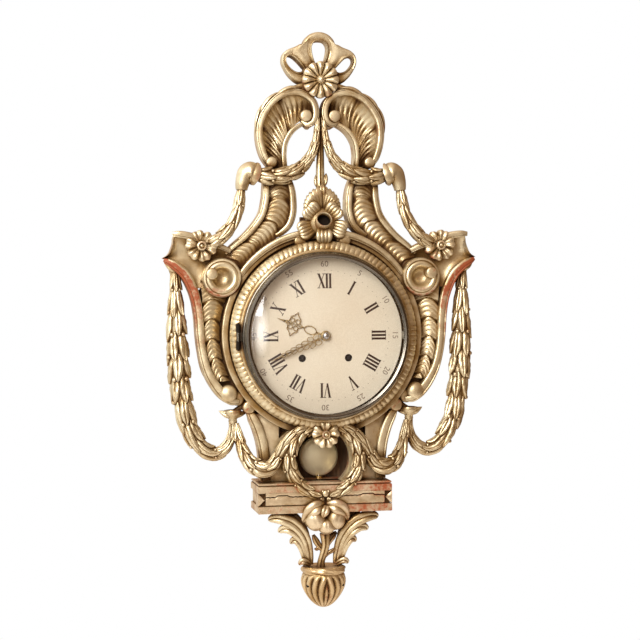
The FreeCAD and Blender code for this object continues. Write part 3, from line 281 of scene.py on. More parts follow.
def knob(x, z, radius, back, front):
    crown = [(radius * math.cos(a), front - 0.55 * radius * (1 - math.sin(a)))
             for a in np.linspace(0.12, math.pi / 2 - 0.02, 9)]
    return turned([(radius, back)] + crown, x, z, 40)


BAND_FORM = [
    (-1, -1.9), (-0.9, -0.7), (-0.7, -0.1), (-0.35, 0), (0.1, -0.15), (0.42, -0.35), (0.5, -0.95),
    (0.58, -0.35), (0.8, -0.3), (0.94, -0.9), (1, -1.9)]
BAND_STEP = 2.0


def band(stations, depth, flip=1.0):
    # carved strap with rounded edges and one incised line; stations: (x, z, front, half width)
    line = smooth_line(stations, max(8, int(length_of(stations) / BAND_STEP)))
    form = np.array([(-1, -depth)] + BAND_FORM + [(1, -depth)])
    across = flip * form[None, :, 0] * line[:, 3:4]
    up = np.broadcast_to(form[None, :, 1], across.shape)
    return sweep(line, np.stack([across, up], axis=2))


def left_of(parts):
    return [(points * np.array([-1.0, 1.0, 1.0]), faces) for points, faces in parts]


def mirror(*parts):
    return list(parts) + left_of(parts)


METRE = 1000


def outward_mesh(name, points, faces):
    # mesh from points in millimetres (x, z, forward), its faces turned outwards
    mesh = bpy.data.meshes.new(name)
    placed = np.stack([points[:, 0], -points[:, 2], points[:, 1]], axis=1) / METRE
    mesh.from_pydata(placed.tolist(), [], faces)
    shaped = bmesh.new()
    shaped.from_mesh(mesh)
    bmesh.ops.recalc_face_normals(shaped, faces=shaped.faces)
    shaped.to_mesh(mesh)
    shaped.free()
    return mesh


def new_object(name, data):
    made = bpy.data.objects.new(name, data)
    bpy.context.scene.collection.objects.link(made)
    return made


BACK_STEPS = 11
BACK_SPREAD = 1.4
THIN_SHARE = 0.2


def carve(name, parts, stands_for, material=gilt, body="case", slot="gilt_wood", bare=None, sharp=52.0,
          seat=0.0):
    # one visible piece out of closed shells; bare says where the bole shows, from x, z and forward; the
    # back of each shell lies a hair from that of the one before, so that no two share a plane
    points, faces, start = [], [], 0
    for number, (shell, shell_faces) in enumerate(parts):
        flat_back = shell[:, 2] < shell[:, 2].min() + 0.01
        step = seat + min(BACK_SPREAD, THIN_SHARE * np.ptp(shell[:, 2])) * (number % BACK_STEPS) / BACK_STEPS
        points.append(shell + np.outer(flat_back * step, (0.0, 0.0, 1.0)))
        faces += [[corner + start for corner in face] for face in shell_faces]
        start += len(shell)
    points = np.vstack(points)
    mesh = outward_mesh(name, points, faces)
    mesh.shade_smooth()
    mesh.set_sharp_from_angle(angle=math.radians(sharp))
    if bare is not None:
        amount = np.clip(bare(points[:, 0], points[:, 1], points[:, 2]), 0, 1).astype(np.float32)
        mesh.attributes.new("bole", "FLOAT", "POINT").data.foreach_set("value", amount)
    mesh.materials.append(material)
    piece = new_object(name, mesh)
    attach(piece, body)
    if stands_for:
        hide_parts(*stands_for)
    return piece


BOARD_BACK = 42.0
EYE_BACK = 46.0
LEDGE, LIP = 76.0, 90.0
BAND_RADIUS = 135.0
REEDS = 108
OVOLO = 10.8
BAND_FRONT = 70.7


def reeded_ring():
    turn = full_turn(REEDS * 10)[None, :]
    ovolo = np.linspace(0, math.pi / 2, 13)
    profile = [(98, BOARD_BACK), (98, LEDGE), (104, LEDGE), (104, LIP), (109, LIP), (110.4, LIP - 0.9)]
    start = len(profile)
    profile += [(110.8 + OVOLO * math.sin(a), 77.6 + OVOLO * math.cos(a)) for a in ovolo]
    end = len(profile)
    profile += [(122.4, 67), (123.2, 62), (124.2, 62), (124.6, 69.8), (124.9, 70.5)]
    profile += [(radius, BAND_FRONT) for radius in (125.4, 126, 131.2, 131.8)]
    profile += [(132.3, 70.5), (132.6, 69.8), (132.6, 52), (BAND_RADIUS, 51.4), (BAND_RADIUS, BOARD_BACK)]
    reach = np.array(profile)[:, :1] + np.zeros_like(turn)
    front = np.array(profile)[:, 1:] + np.zeros_like(turn)
    wander = 0.35 * np.sin(5 * turn + 1) + 0.25 * np.sin(13 * turn)
    phase = turn * REEDS / 2 + wander + np.linspace(0, 0.7, end - start)[:, None]
    reed = np.abs(np.sin(phase)) ** 0.42 - 0.8
    window = np.sin(np.linspace(0.1, math.pi - 0.1, end - start))[:, None] ** 0.5
    height = 1.4 * (1 + 0.25 * np.sin(7 * turn + 2) + 0.2 * np.sin(19 * turn))
    reach[start:end] += height * reed * window * np.sin(ovolo)[:, None]
    front[start:end] += height * reed * window * np.cos(ovolo)[:, None]
    reach[end:-2] -= 2.2 * np.cos(turn) ** 2 + 2.4 * np.clip(-np.sin(turn), 0, 1)
    reach[-2:] -= 5 * np.clip(-10 * np.sin(turn) - 8, 0, 1)
    return skin(np.stack([reach * np.cos(turn), reach * np.sin(turn), front], axis=2), loop=True)


def cos_sin(degrees):
    return math.cos(math.radians(degrees)), math.sin(math.radians(degrees))


def on_ring(radius, angle):
    # angle in degrees from the top, clockwise
    c, s = cos_sin(angle)
    return radius * s, radius * c


WINDOW_Z, WINDOW_RADIUS = -159.5, 37.0
WAIST_FOOT = -188.5


def waist_board():
    # board pierced by the round window, as rays from the window's edge to the outline
    outline = [(90, -100.6), (84.5, -118), (81, -138), (80, -158), (80.6, WAIST_FOOT)]
    side = plan_line(outline, 24)
    hull = np.vstack([side, side[::-1] * np.array([-1, 1])]) - np.array([0, WINDOW_Z])
    turn = full_turn(144)
    rays = []
    for a in turn:
        way = np.array([math.cos(a), math.sin(a)])
        hits = []
        for one, two in zip(hull, np.roll(hull, -1, axis=0)):
            run = two - one
            cross = way[0] * run[1] - way[1] * run[0]
            if abs(cross) > 1e-9:
                reach = (one[0] * run[1] - one[1] * run[0]) / cross
                share = (one[0] * way[1] - one[1] * way[0]) / cross
                if reach > 0 and -1e-6 <= share <= 1 + 1e-6:
                    hits.append(reach)
        rays.append(min(hits))
    rays = np.array(rays)
    rows = []
    form = ((0, BOARD_BACK), (0, 57), (0.03, 59.5), (0.3, 60), (0.9, 60), (1, 59), (1, BOARD_BACK))
    for share, front in form:
        reach = WINDOW_RADIUS + (rays - WINDOW_RADIUS) * share
        across, up = reach * np.cos(turn), WINDOW_Z + reach * np.sin(turn)
        rows.append(np.column_stack([across, up, 0 * turn + front]))
    return skin(np.array(rows), loop=True)


# a turned profile begins this far from its axis, so that its faces don't meet in one point
AXIS = 0.02


def eye(x, z, radius, back, front):
    # flat round end of a scroll with an eased edge
    form = [(AXIS, front), (radius * 0.7, front), (radius * 0.88, front - 0.4), (radius, front - 1.8),
            (radius, back)]
    return turned(form, x, z, 40)


def saw_through(piece, corners, back, front):
    # saws a straight-sided opening through a piece; corners: (x, z)
    walls = [[(x, z, depth) for x, z in corners] for depth in (back, front)]
    saw = outward_mesh("saw", *skin(np.array(walls)))
    blade = new_object("saw", saw)
    cut = piece.modifiers.new("opening", "BOOLEAN")
    cut.operation = "DIFFERENCE"
    cut.solver = "EXACT"
    cut.object = blade
    bpy.context.view_layer.objects.active = piece
    bpy.ops.object.modifier_apply(modifier=cut.name)
    bpy.data.objects.remove(blade)
    bpy.data.meshes.remove(saw)


def level(front, half, *spots):
    # stations at one depth and of one width
    return [(x, z, front, half) for x, z in spots]


brow = [(*on_ring(133.4 - 1.5 * (s / 10) ** 2, 12 + 4.15 * s), 76 - 0.4 * s, 4.9 - 0.1 * s)
        for s in range(11)]
brow_curl = [
    (*on_ring(131.5, 15), 75.6, 4.6), (*on_ring(134, 11.4), 75.4, 3.6), (*on_ring(130, 8.6), 75, 2.6),
    (*on_ring(123, 9.4), 74.4, 1.8)]
waist_strap = [
    (98, -93, 66, 3), (91, -105, 68, 6), (84.5, -119, 68, 6.6), (79, -138, 67.5, 6.8), (76.5, -158, 67, 6.8),
    (75.8, -186, 66, 6.8)]
waist_bead = level(61.5, 1.4, (77, -112), (70, -126), (66, -142), (64, -160), (63.5, -187))
surround = mirror(band(brow, 12), band(brow_curl, 10), eye(*on_ring(125.4, 13.4), 8.0, 62, 75.4),
                  band(waist_strap, 24, -1.0), eye(96, -91, 8.2, EYE_BACK, 70.5))


def surround_bare(x, z, f):
    return np.where((x * x + z * z > 124 ** 2) & (z < -20), 0.08, 0.0)


carve("dial_surround_carved", [reeded_ring()] + surround, ["dial_surround"], bare=surround_bare)
# paler leaf, with less painted shade in the hollows
pale_gilt = gilt_finish("gilt_pale", {"Leaf": (0.88, 0.78, 0.55, 1), "Hollow_Shade": 0.5})
waist = carve("waist_board_carved", [waist_board()] + mirror(band(waist_bead, 5)), [], material=pale_gilt,
              bare=surround_bare, seat=0.4)
piercing = ((57, -117), (43, -121), (57, -133))
for side in (-1, 1):
    saw_through(waist, [(side * x, z) for x, z in piercing], 30, 70)


# Crest: two mirrored S-scrolls of limewood, each a hollow channel carved with shell ribs between raised
# bands that roll into volutes. Cut from one board and open in the middle.

def relief_block(top, back):
    # carved front over a flat back, as one closed shell; top: grid of points
    rows, columns = top.shape[:2]
    ring = [(0, c) for c in range(columns)] + [(r, columns - 1) for r in range(1, rows)]
    ring += [(rows - 1, c) for c in range(columns - 2, -1, -1)] + [(r, 0) for r in range(rows - 2, 0, -1)]
    index = np.arange(rows * columns).reshape(rows, columns)
    quads = np.stack([index[:-1, :-1], index[:-1, 1:], index[1:, 1:], index[1:, :-1]], axis=2)
    faces = quads.reshape(-1, 4).tolist()
    under = top.reshape(-1, 3).copy()
    under[:, 2] = back
    count = rows * columns
    faces += [[corner + count for corner in face[::-1]] for face in faces]
    for one, two in zip(ring, ring[1:] + ring[:1]):
        a, b = index[one], index[two]
        faces.append([int(a), int(b), int(b) + count, int(a) + count])
    return np.vstack([top.reshape(-1, 3), under]), faces


def shell_channel(rails, ribs, segments, edges, hollow, lean, rib_height, rim_height, bow=0.25):
    # ribbed shells in a row between two rails, each overlapping the next with a thin raised rim;
    # rails: (inner x, inner z, outer x, outer z) at matching places, hollow below zero swells the shells
    rows, columns = ribs * 9 + 1, 30
    line = smooth_line([((a + c) / 2, (b + d) / 2, 0, a, b, c, d) for a, b, c, d in rails], rows)
    along = np.linspace(0, 1, rows)[:, None]
    across = np.linspace(0, 1, columns)[None, :]
    low, high = line[:, None, 3:5], line[:, None, 5:7]
    dish = np.sin(np.pi * across)
    shell = along * segments + bow * dish + lean * (across - 0.5)
    part = shell % 1.0
    rib = np.abs(np.sin(np.pi * shell * ribs / segments)) ** 0.75
    rim = np.exp(-((part - 0.95) / 0.035) ** 2)
    notch = np.exp(-(np.minimum(part, 1 - part) / 0.09) ** 2) * (1 - dish) ** 1.2
    plan = low + (high - low) * across[:, :, None]
    body = (rib_height * rib * (1 - rim) + 1.2 * part + rim_height * rim) * (0.25 + 0.75 * dish)
    front = edges[0] + (edges[1] - edges[0]) * across - hollow * dish + body - 6 * notch
    return relief_block(np.dstack([plan, front]), BOARD_BACK)


scroll = [(25, 276.5, 64, 1.6), (17, 271.5, 67, 3), (8.6, 275.5, 68, 4)]
scroll += level(68, 4.2, (5.6, 287), (9, 301), (20, 310.5), (33, 313.5), (47, 311), (60, 302.5), (70, 290.5),
                (77, 277), (79.5, 262), (78, 246))
scroll += [(73.5, 231, 68, 4), (67.5, 222, 67.5, 3.4), (60, 219.6, 66, 2.2)]
oval_rim = [(19, 275, 64, 2.5)]
oval_rim += level(65, 3.4, (35, 265), (44.5, 251), (47.5, 236), (47, 221), (45.5, 203))
channel = [
    (16, 281, 9, 297), (22, 278.5, 19, 307), (29, 274, 33, 311), (36, 268, 47, 308), (42, 260.5, 59, 299),
    (46.5, 252, 68, 287), (49.5, 242, 74.5, 273), (51, 231, 77, 257), (51, 219, 75.5, 241),
    (50, 206, 71, 226)]
neck = [
    (41, 207, 69, 207), (39.6, 190, 69, 190), (39.6, 175, 69.6, 180), (41, 159, 71, 169),
    (46, 142, 74.5, 159), (57, 126.5, 80, 150), (69, 115, 88.5, 138.5), (82, 104.5, 100, 125.5),
    (95, 92.5, 114, 112.5), (106, 80, 126, 99)]
neck_strap_in = [
    (43, 204, 67, 3.4), (38.5, 190, 68, 4), (36.6, 176, 68, 4.3), (36.8, 158, 68, 4.3), (42, 142.5, 68, 4.2),
    (52, 132.5, 67, 3.8), (59, 128.5, 66, 3)]
neck_strap_out = [
    (71, 204, 67, 3.4), (71.2, 190, 68, 4), (72, 176, 68, 4.3), (76.5, 157, 68, 4.3), (86.5, 141.5, 68, 4.3),
    (99, 128, 67.5, 4), (115, 115, 67, 3.4), (124, 106, 66, 2.4)]
crest_leaves = [
    [(16, 316, 60, 0.6), (27, 317.5, 64, 3), (40, 316.5, 66, 4.5), (52, 311, 65, 3.6), (60, 304, 62, 0.4)],
    [(46, 314, 60, 0.6), (58, 309, 64, 3), (68, 300.5, 65, 4.2), (75, 290, 64, 3), (78, 281, 62, 0.4)],
    [(68, 302, 58, 0.6), (76, 292.5, 62, 2.6), (81, 280, 64, 3.4), (83, 266, 62, 2.6), (82, 252, 60, 0.4)]]


def lobe(stations, thick, crease, step=1.6, around=18):
    # carved leaf or petal: pointed oval with a hollow midrib; stations: (x, z, middle depth, half width)
    line = smooth_line(stations, max(10, int(length_of(stations) / step)))
    turn = full_turn(around)[None, :]
    half = np.maximum(line[:, 3:4], 0.15)
    across = half * np.sin(turn)
    midrib = crease * half * np.exp(-(np.sin(turn) / 0.22) ** 2) * thick * 2
    swell = half * thick * np.cos(turn) - np.where(np.cos(turn) > 0, midrib, 0)
    return sweep(line, np.stack([across, swell], axis=2))


def lobes(lines, thick, crease):
    return [lobe(line, thick, crease) for line in lines]


crest_half = [shell_channel(channel, 17, 3, (59, 60), 11, 0.05, 1.6, 2.6, bow=0.12),
              shell_channel(neck, 22, 4, (62, 62), -1.0, -0.16, 1.1, 1.8), band(scroll, 24, -1.0),
              band(oval_rim, 22), band(neck_strap_in, 24), band(neck_strap_out, 24, -1.0),
              eye(18.4, 282.6, 8, EYE_BACK, 67), eye(64.4, 222.6, 7.4, EYE_BACK, 68)]
crest_half += lobes(crest_leaves, 0.7, 0.25)
# crest gilding with extra painted shade in the hollows, so the channels read darker
shaded_gilt = gilt_finish("gilt_shaded", {"Hollow_Shade": 1.75}, 0.1, 0.35)
# the outer rim of the right scroll has lost its leaf on the shoulder
carve("crest_carved", mirror(*crest_half), ["crest_frame"], material=shaded_gilt,
      bare=lambda x, z, f: np.where((x > 60) & (z > 240), 0.2, 0.04))


# Ribbon bow: one sheet of carved ribbon in three open loops with rolled rims round the holes, and tails
# over the shoulders of the scrolls. The open-work is sawn through, and the rosette covers the knot.

LOOP_STEPS = 84
KNOT_Z = 329


def ribbon_loop(outer, inner):
    # ring of ribbon between two closed outlines, dished across with a raised rim round the hole
    outside, inside = plan_line(outer, LOOP_STEPS, True), plan_line(inner, LOOP_STEPS, True)
    form = ((0, EYE_BACK), (0, 56), (0.03, 58.4), (0.1, 60), (0.3, 60.8), (0.6, 60), (0.78, 60.2),
            (0.84, 62.4), (0.91, 63.4), (0.97, 62.4), (1, 60), (1, EYE_BACK))
    rows = []
    for share, front in form:
        plan = outside + (inside - outside) * share
        rows.append(np.column_stack([plan, np.full(LOOP_STEPS, front)]))
    return skin(np.array(rows), loop=True)


def ruled(inner, outer, rows, fronts, back, columns=10):
    # plain surface between two rails; fronts gives its depth from the inner to the outer rail
    low, high = plan_line(inner, rows)[:, None], plan_line(outer, rows)[:, None]
    across = np.linspace(0, 1, columns)
    plan = low + (high - low) * across[None, :, None]
    front = np.interp(across, np.linspace(0, 1, len(fronts)), fronts)[None, :, None]
    return relief_block(np.concatenate([plan, np.broadcast_to(front, (rows, columns, 1))], axis=2), back)


def two_sided(half):
    # closed outline from its right half, top to bottom
    return half + [(-x, z) for x, z in half[-2:0:-1]]


top_outside = [(0, 392), (10.4, 389.6), (18, 383.4), (21.6, 376), (24, 366), (22, 350), (14, 337), (0, 330)]
top_inside = [(0, 379.6), (6, 378.4), (9.4, 373.5), (9.6, 367), (7.4, 357), (4.6, 351), (0, 349)]
side_outside = [
    (6, 346), (10, 362), (16, 373), (23, 376.4), (31, 372.6), (41, 368.5), (47.6, 362), (49, 352), (45, 342),
    (38.5, 333), (29, 325.5), (17, 324), (7, 333)]
side_inside = [
    (22, 345.5), (28, 352), (34, 357.5), (39.5, 359.8), (43, 357.5), (43, 352), (39, 346), (33.5, 341.5),
    (27.5, 339.5), (23, 340.5), (21, 342), (20.6, 343.4), (21, 344.6)]
top_loop = ribbon_loop(two_sided(top_outside), two_sided(top_inside))
side_loop = ribbon_loop(side_outside, side_inside)
web = ruled([(12, 383), (15.2, 376), (16, 368), (14.6, 359), (11.4, 351)],
            [(23.5, 374), (32, 369.6), (35, 363.5), (28.5, 356), (20, 349.5)], 24, (60.7, 61.3, 60.7), 47)
tails = [
    [(6, 326, 60, 5), (20, 320.5, 62, 5.5), (33, 317, 62, 5), (46, 313.5, 60, 4.2), (54, 308, 58, 1.2)],
    [(4, 322, 60, 4), (10, 314, 63, 4.4), (13, 306, 62, 3.4), (14, 300, 60, 0.8)]]
bow = [top_loop] + mirror(side_loop, web, *lobes(tails, 0.45, 0.2))
carve("ribbon_bow_carved", bow + [knob(0, KNOT_Z, 15, EYE_BACK, 66)], ["ribbon_bow"])


# Crest rosette: daisy of twelve petals round a button, of limewood in paler gilding than the crest. Carved
# apart and pegged over the knot of the bow.

def daisy(x, z, radius, petals, back, height, button, gap, flat, flutes=1.0, heart=0.0, turn_by=0.0,
          base=0.3, ridge=0.07):
    # cushioned petals with a ridge or groove, round or heart-shaped ends and cuts between, and a button
    turn = full_turn(petals * 20)[None, :]
    beat = ((turn - turn_by) * petals / (2 * math.pi) + 0.5) % 1.0 * 2 - 1
    share = np.linspace(0.02, 1, 26)[:, None]
    edge = radius * (1 - gap * np.abs(beat) ** 3 - heart * np.exp(-(beat / 0.22) ** 2))
    swell = np.clip((share - 0.16) / 0.5, 0, 1) ** 0.6 - 0.35 * np.clip((share - 0.72) / 0.28, 0, 1) ** 2
    cushion = np.clip(1 - np.abs(beat) ** flat, 0, 1)
    petal = base + swell * ((0.71 - base) * cushion + ridge * np.cos(2 * math.pi * flutes * beat) * cushion)
    dome = np.sqrt(np.clip(1 - (share / button) ** 2, 0, 1))
    rise = np.maximum(petal, np.where(dome > 0, 0.5 + 0.5 * dome, 0))
    front = back + height * np.minimum(rise, 1.0)
    grid = np.stack([x + edge * share * np.sin(turn), z + edge * share * np.cos(turn), front], axis=2)
    foot = grid[-1:].copy()
    foot[:, :, 2] = back
    return skin(np.vstack([grid, foot]))


crest_daisy = daisy(0, KNOT_Z, 23.6, 12, 62, 14.5, button=0.24, flutes=0.5, gap=0.07, flat=8)
carve("crest_rosette_carved", [crest_daisy], ["crest_rosette"], material=pale_gilt,
      bare=lambda x, z, f: 0.16 + 0.1 * np.where(f > 72, 1.0, 0.0))


# Palmette: stem with buds on the axis of the crest, two upright notched leaves and an open flower of broad
# petals with a fluted tongue below. The socket in its heart is turned up and rubbed at the edge, and a
# near-black disc inside it is painted shade for its depth.

flower_z, flower_seat = 145.5, 73
stem = [
    (0, 283, 58, 3), (0.4, 262, 62, 3.6), (0, 240, 63, 4.6), (-0.8, 215, 64, 5.4), (-1, 196, 66, 5.8),
    (0, 180, 68, 6)]
buds = [
    [(-1, 188, 66, 2.4), (-5.4, 195, 67, 3.6), (-6.4, 202, 66, 2.8), (-5.8, 208, 64, 0.5)],
    [(1, 190, 66, 2.4), (4.6, 197, 67, 3.4), (6.2, 204, 66, 2.8), (7, 209, 64, 0.5)],
    [(0, 176, 70, 2.4), (0.4, 184, 73, 4.6), (0.2, 190, 73, 4), (0.6, 196, 70, 0.5)]]


def notched_leaf(foot, spread_from, spread_to, reach, fingers, front):
    # leaf of fingers that fan out from its foot, longest where they stand upright
    parts = []
    for n in range(fingers):
        lean = spread_from + (spread_to - spread_from) * n / (fingers - 1)
        c, s = cos_sin(lean)
        long = reach * (1 - 0.4 * abs(lean) / 75)
        spots = ((0.05, 1.6, 0), (0.4, 4.2, 3), (0.75, 4.8, 4.6), (0.92, 3.2, 4), (1.0, 0.5, 2.6))
        parts.append(lobe([(foot[0] + long * share * s, foot[1] + long * share * c, front + lift, half)
                           for share, half, lift in spots], 0.5, 0.2, around=14))
    return parts


def open_petal(angle, reach, half, lift):
    # broad thin petal with a few veins, hollow in the middle and turned up at the edge
    c, s = cos_sin(angle)
    parts = []
    for vein in (-1.0, -0.5, 0.0, 0.5, 1.0):
        spots = ((0.28, 0.5, 0), (0.6, 0.86, 2.6), (0.86, 1.0, 4.2), (1.0, 0.62, 4.6),
                 (1.06 - 0.05 * abs(vein), 0.1, 3.6))
        run = []
        for share, wide, rise in spots:
            aside = vein * half * 0.66 * wide
            run.append((reach * share * s + aside * c, flower_z + reach * share * c - aside * s,
                        flower_seat + lift + rise, max(half * 0.27 * wide, 0.5)))
        parts.append(lobe(run, 0.8, 0.0, around=14))
    return parts


palmette = [lobe(stem, 0.9, 0.25)] + lobes(buds, 0.7, 0.2)
palmette += notched_leaf((-2, 155), -66, -6, 38, 7, 70) + notched_leaf((2, 155), 5, 62, 38, 7, 68)
for petal in ((-114, 32, 14, -1), (-46, 27, 14, 0.5), (46, 27, 14, 0), (112, 31, 13.5, -1.5)):
    palmette += open_petal(*petal)
heart_form = [(AXIS, 74), (8, 74.4), (11, 79), (15, 77), (20, 70), (20, 60), (AXIS, 60)]
palmette.append(turned(heart_form, 0, flower_z, 40))
for s in (-1.0, -0.36, 0.36, 1.0):
    tongue = [(s * 4, 140, 80, 2), (s * 7, 131, 86, 3.2), (s * 6.6, 123, 86, 3), (s * 2.6, 114.6, 82, 0.6)]
    palmette.append(lobe(tongue, 0.7, 0.05))


def tipped(part, z, forward, angle):
    # turns a shell up about a level axis through (z, forward)
    points, faces = part
    c, s = cos_sin(angle)
    up, out = points[:, 1] - z, points[:, 2] - forward
    return np.stack([points[:, 0], z + up * c + out * s, forward + out * c - up * s], axis=1), faces


socket_wall = [(8.0, 76), (8.3, 86.6), (8.9, 88.4), (9.6, 89), (10.4, 88.2), (10.8, 85), (10.6, 76)]
socket_tip = (flower_z, 80, 24)
socket = tipped(turned(socket_wall, 0, flower_z, 48, loop=True), *socket_tip)
carve("palmette_carved", palmette + [socket], ["palmette_flower"],
      bare=lambda x, z, f: np.where((f > 80) & (np.hypot(x, z - flower_z) < 12), 0.12, 0.03))


def plain_group():
    # even colour broken by slow and fine changes, for metal and paint
    group, given, result = new_group("tarnish", (("Colour", "Color", (0.5, 0.5, 0.5, 1)),
                                                 ("Stain", "Color", (0.2, 0.2, 0.2, 1)),
                                                 ("Amount", "Float", 0.5), ("Gloss", "Float", 0.3),
                                                 ("Matt", "Float", 0.5), ("Fine", "Float", 400.0)), SURFACE)
    place = add_node(group, "TexCoord").outputs["Object"]
    slow = noise(group, place, 26, 5)
    fine = noise(group, place, given["Fine"], 3)
    hollow = add_node(group, "AmbientOcclusion", {"Distance": 0.006}, samples=6).outputs["AO"]
    patina_and_shade = plus(group, figure(group, "SUBTRACT", 1.0, hollow), spread(group, slow, 0.42, 0.75, 0, 0.55))
    stained = times(group, patina_and_shade, given["Amount"])
    rough = value_mix(group, spread(group, fine, 0.35, 0.7), given["Gloss"], given["Matt"])
    return give(group, result, colour_mix(group, stained, given["Colour"], given["Stain"]), rough, fine)


tarnish = plain_group()


def aged(name, colour, stain, bump, metal, sheen=0.5, **changes):
    return make_finish(name, tarnish, {"Colour": (*colour, 1), "Stain": (*stain, 1), **changes}, bump,
                       Metallic=metal, Specular_IOR_Level=sheen)


# near-black finish, painted shade put where there would only be a dark hole or the shade round the hinge
painted_shade_black = aged("painted_shade_black", (0.014, 0.009, 0.006), (0.006, 0.004, 0.003), 0.1, 0.0, sheen=0.1)
# near-black disc inside the socket, painted shade for its depth
shade_disc = turned([(AXIS, 78), (7.9, 78), (8.1, 84), (8.2, 74), (AXIS, 74)], 0, flower_z, 40)
carve("socket_shade_disc", [tipped(shade_disc, *socket_tip)], [], material=painted_shade_black)


# Upper garlands: ropes of laurel from the axis of the crest to a smooth elbow on the shoulder, and on down
# to the ear. Carved in the round in whorls of pointed leaves with berries between the tips.

LEAF_OVERLAP = 1.42


def laurel(stations, tiers, leaves, seed):
    # rope of leaves round a core, their tips lifted along the line; stations: (x, z, middle, radius)
    line = smooth_line(stations, int(length_of(stations) / 0.8))
    table = np.hstack([line[:, :4], *guide(line)])
    places = np.linspace(0, tiers, len(line))
    turn = full_turn(24)[None, :]
    core = 0.64 * line[:, 3:4]
    parts = [sweep(line, np.stack([core * np.sin(turn), core * np.cos(turn)], axis=2))]
    draw = random.Random(seed)
    s = np.linspace(0, 1, 14)[:, None]
    v = np.linspace(-1, 1, 17)[None, :]
    outline = np.maximum((s + 0.12) ** 0.5 * (1 - s) ** 0.7 / 0.54, 0.05)
    cheeks = 0.2 * (1 - v ** 4) - 0.13 * np.exp(-(v / 0.13) ** 2) * (1 - 0.5 * s)
    ramp = np.minimum(1, 0.3 + 1.7 * s) * (1 - 0.4 * s ** 6)
    side_veins = 0.028 * np.sin(22 * s - 9 * np.abs(v)) * np.minimum(1, 4 * np.abs(v)) * (1 - s ** 4)

    def at(where):
        return np.stack([np.interp(where, places, column) for column in table.T], axis=-1)

    def around(rows, reach, angle):
        out = np.cos(angle)[..., None] * rows[:, None, 4:7] + np.sin(angle)[..., None] * rows[:, None, 7:10]
        return rows[:, None, :3] + reach[..., None] * out

    for tier in range(tiers):
        for leaf in range(leaves):
            middle = 2 * math.pi * (leaf + 0.5 * (tier % 2) + draw.uniform(-0.12, 0.12)) / leaves
            end = min(tier + LEAF_OVERLAP + draw.uniform(-0.3, 0.15), tiers)
            rows = at(tier + (end - tier) * s[:, 0])
            radius = rows[:, 3:4]
            angle = middle + (v * outline * 1.04 + draw.uniform(-0.45, 0.45) * s) * math.pi / leaves
            crumple = 0.04 * np.sin(6 * s + 2.5 * v + draw.uniform(0, 6)) + side_veins
            lift = 0.66 + 0.2 * s ** 1.2 + draw.uniform(-0.03, 0.03)
            upper = around(rows, radius * (lift + cheeks * ramp + crumple), angle)
            lower = around(rows, np.repeat(radius * (lift - 0.17), 3, axis=1), angle[:, [16, 8, 0]])
            parts.append(skin(np.concatenate([upper, lower], axis=1)))
        for berry in range(tier % 2, leaves, 2):
            angle = 2 * math.pi * (berry + 0.5 + 0.5 * (tier % 2)) / leaves
            spot = at(np.array([min(tier + 1.12, tiers)]))
            size = 0.2 * spot[0, 3]
            parts.append(ball(around(spot, 0.84 * spot[:, 3:4], np.array([[angle]]))[0, 0], size))
    return parts


def ball(middle, radius):
    fall = np.linspace(0.15, math.pi - 0.15, 8)[:, None]
    turn = full_turn(12)[None, :]
    grid = np.dstack([np.sin(fall) * np.cos(turn), np.sin(fall) * np.sin(turn), np.cos(fall) + 0 * turn])
    return skin(middle + radius * grid)


swag = [
    (85, 207.5, 68, 10.8), (74, 205, 70, 12), (62, 204.5, 70, 12.2), (47, 206, 70, 11.6),
    (28, 214.5, 70, 9.6), (15, 229, 69, 7.6), (7.6, 248, 68, 5.6), (4.5, 268, 66, 4.2), (4, 281, 64, 3.2)]
elbow = [
    (84.6, 207.4, 67, 12.6), (85.6, 207.5, 67, 14.8), (87.4, 208, 68, 14.8), (88.8, 208.4, 68, 13),
    (92.5, 209.6, 68, 13.8), (97.5, 207.6, 68, 12), (101, 201, 68, 10), (103, 193, 68, 8.6),
    (103.6, 187, 68, 7.4)]
shoulder = [
    (103, 193, 68, 6.4), (105.5, 178, 68, 7.6), (109, 160, 69, 8), (116.5, 143, 70, 8.8),
    (128, 129, 70, 9.4), (141, 121, 68, 8.8), (148, 118, 66, 5)]
upper = laurel(swag, 7, 5, 3) + laurel(shoulder, 4, 4, 4) + [lobe(elbow, 0.92, 0.0, 1.0, 40)]


def carve_pair(name, parts, **finish):
    # right-hand piece and its mirror image
    for side, shells in (("right", parts), ("left", left_of(parts))):
        carve(f"{name}_{side}_carved", shells, [f"{name}_{side}"], **finish)


carve_pair("upper_garland", upper)


# Consoles: flaring ear above a hollow volute, and a channel of five overlapping shells inside a broad outer
# strap, rolled up at the foot. The upper half of the strap has lost its leaf down to the red bole.

ground = ruled([on_ring(BAND_RADIUS - 3, a) for a in (50, 70, 90, 110, 127)],
               [(166, 56), (163, 20), (161.5, -15), (150, -55), (110, -88)], 30, (50, 50, 50), BOARD_BACK)
shell_rails = [
    (119, 59, 157, 72), (126, 42, 155, 52), (130.4, 26, 154.4, 34), (132.4, 8, 153.8, 16),
    (132.2, -8, 152.6, 0), (130, -24, 149.6, -18), (125.6, -41, 145, -37), (119, -57, 137, -58)]
shells = shell_channel(shell_rails, 20, 5, (58, 64), -0.6, -0.4, 0.9, 1.8, bow=0.3)
outer_strap = [
    (203.6, 98.6, 66, 2.4), (197, 95, 69, 4.6), (187, 89, 70, 5.6), (176, 78.5, 70, 6.2),
    (167.4, 62, 70, 6.2), (162.4, 45, 69.5, 5.8), (159.6, 25, 69.5, 5.6), (158, 0, 69.5, 5.4),
    (155.6, -20, 69.5, 5.2), (150, -42, 69.5, 5.4), (141, -60, 69.5, 6), (130, -74, 70, 6.4),
    (119, -83, 70, 5), (109, -84, 68, 3.4)]
ear_high = [
    (117, 104), (138, 116.5), (160, 126), (180, 131.5), (190, 128), (192, 118), (197, 106), (204.5, 100.5)]
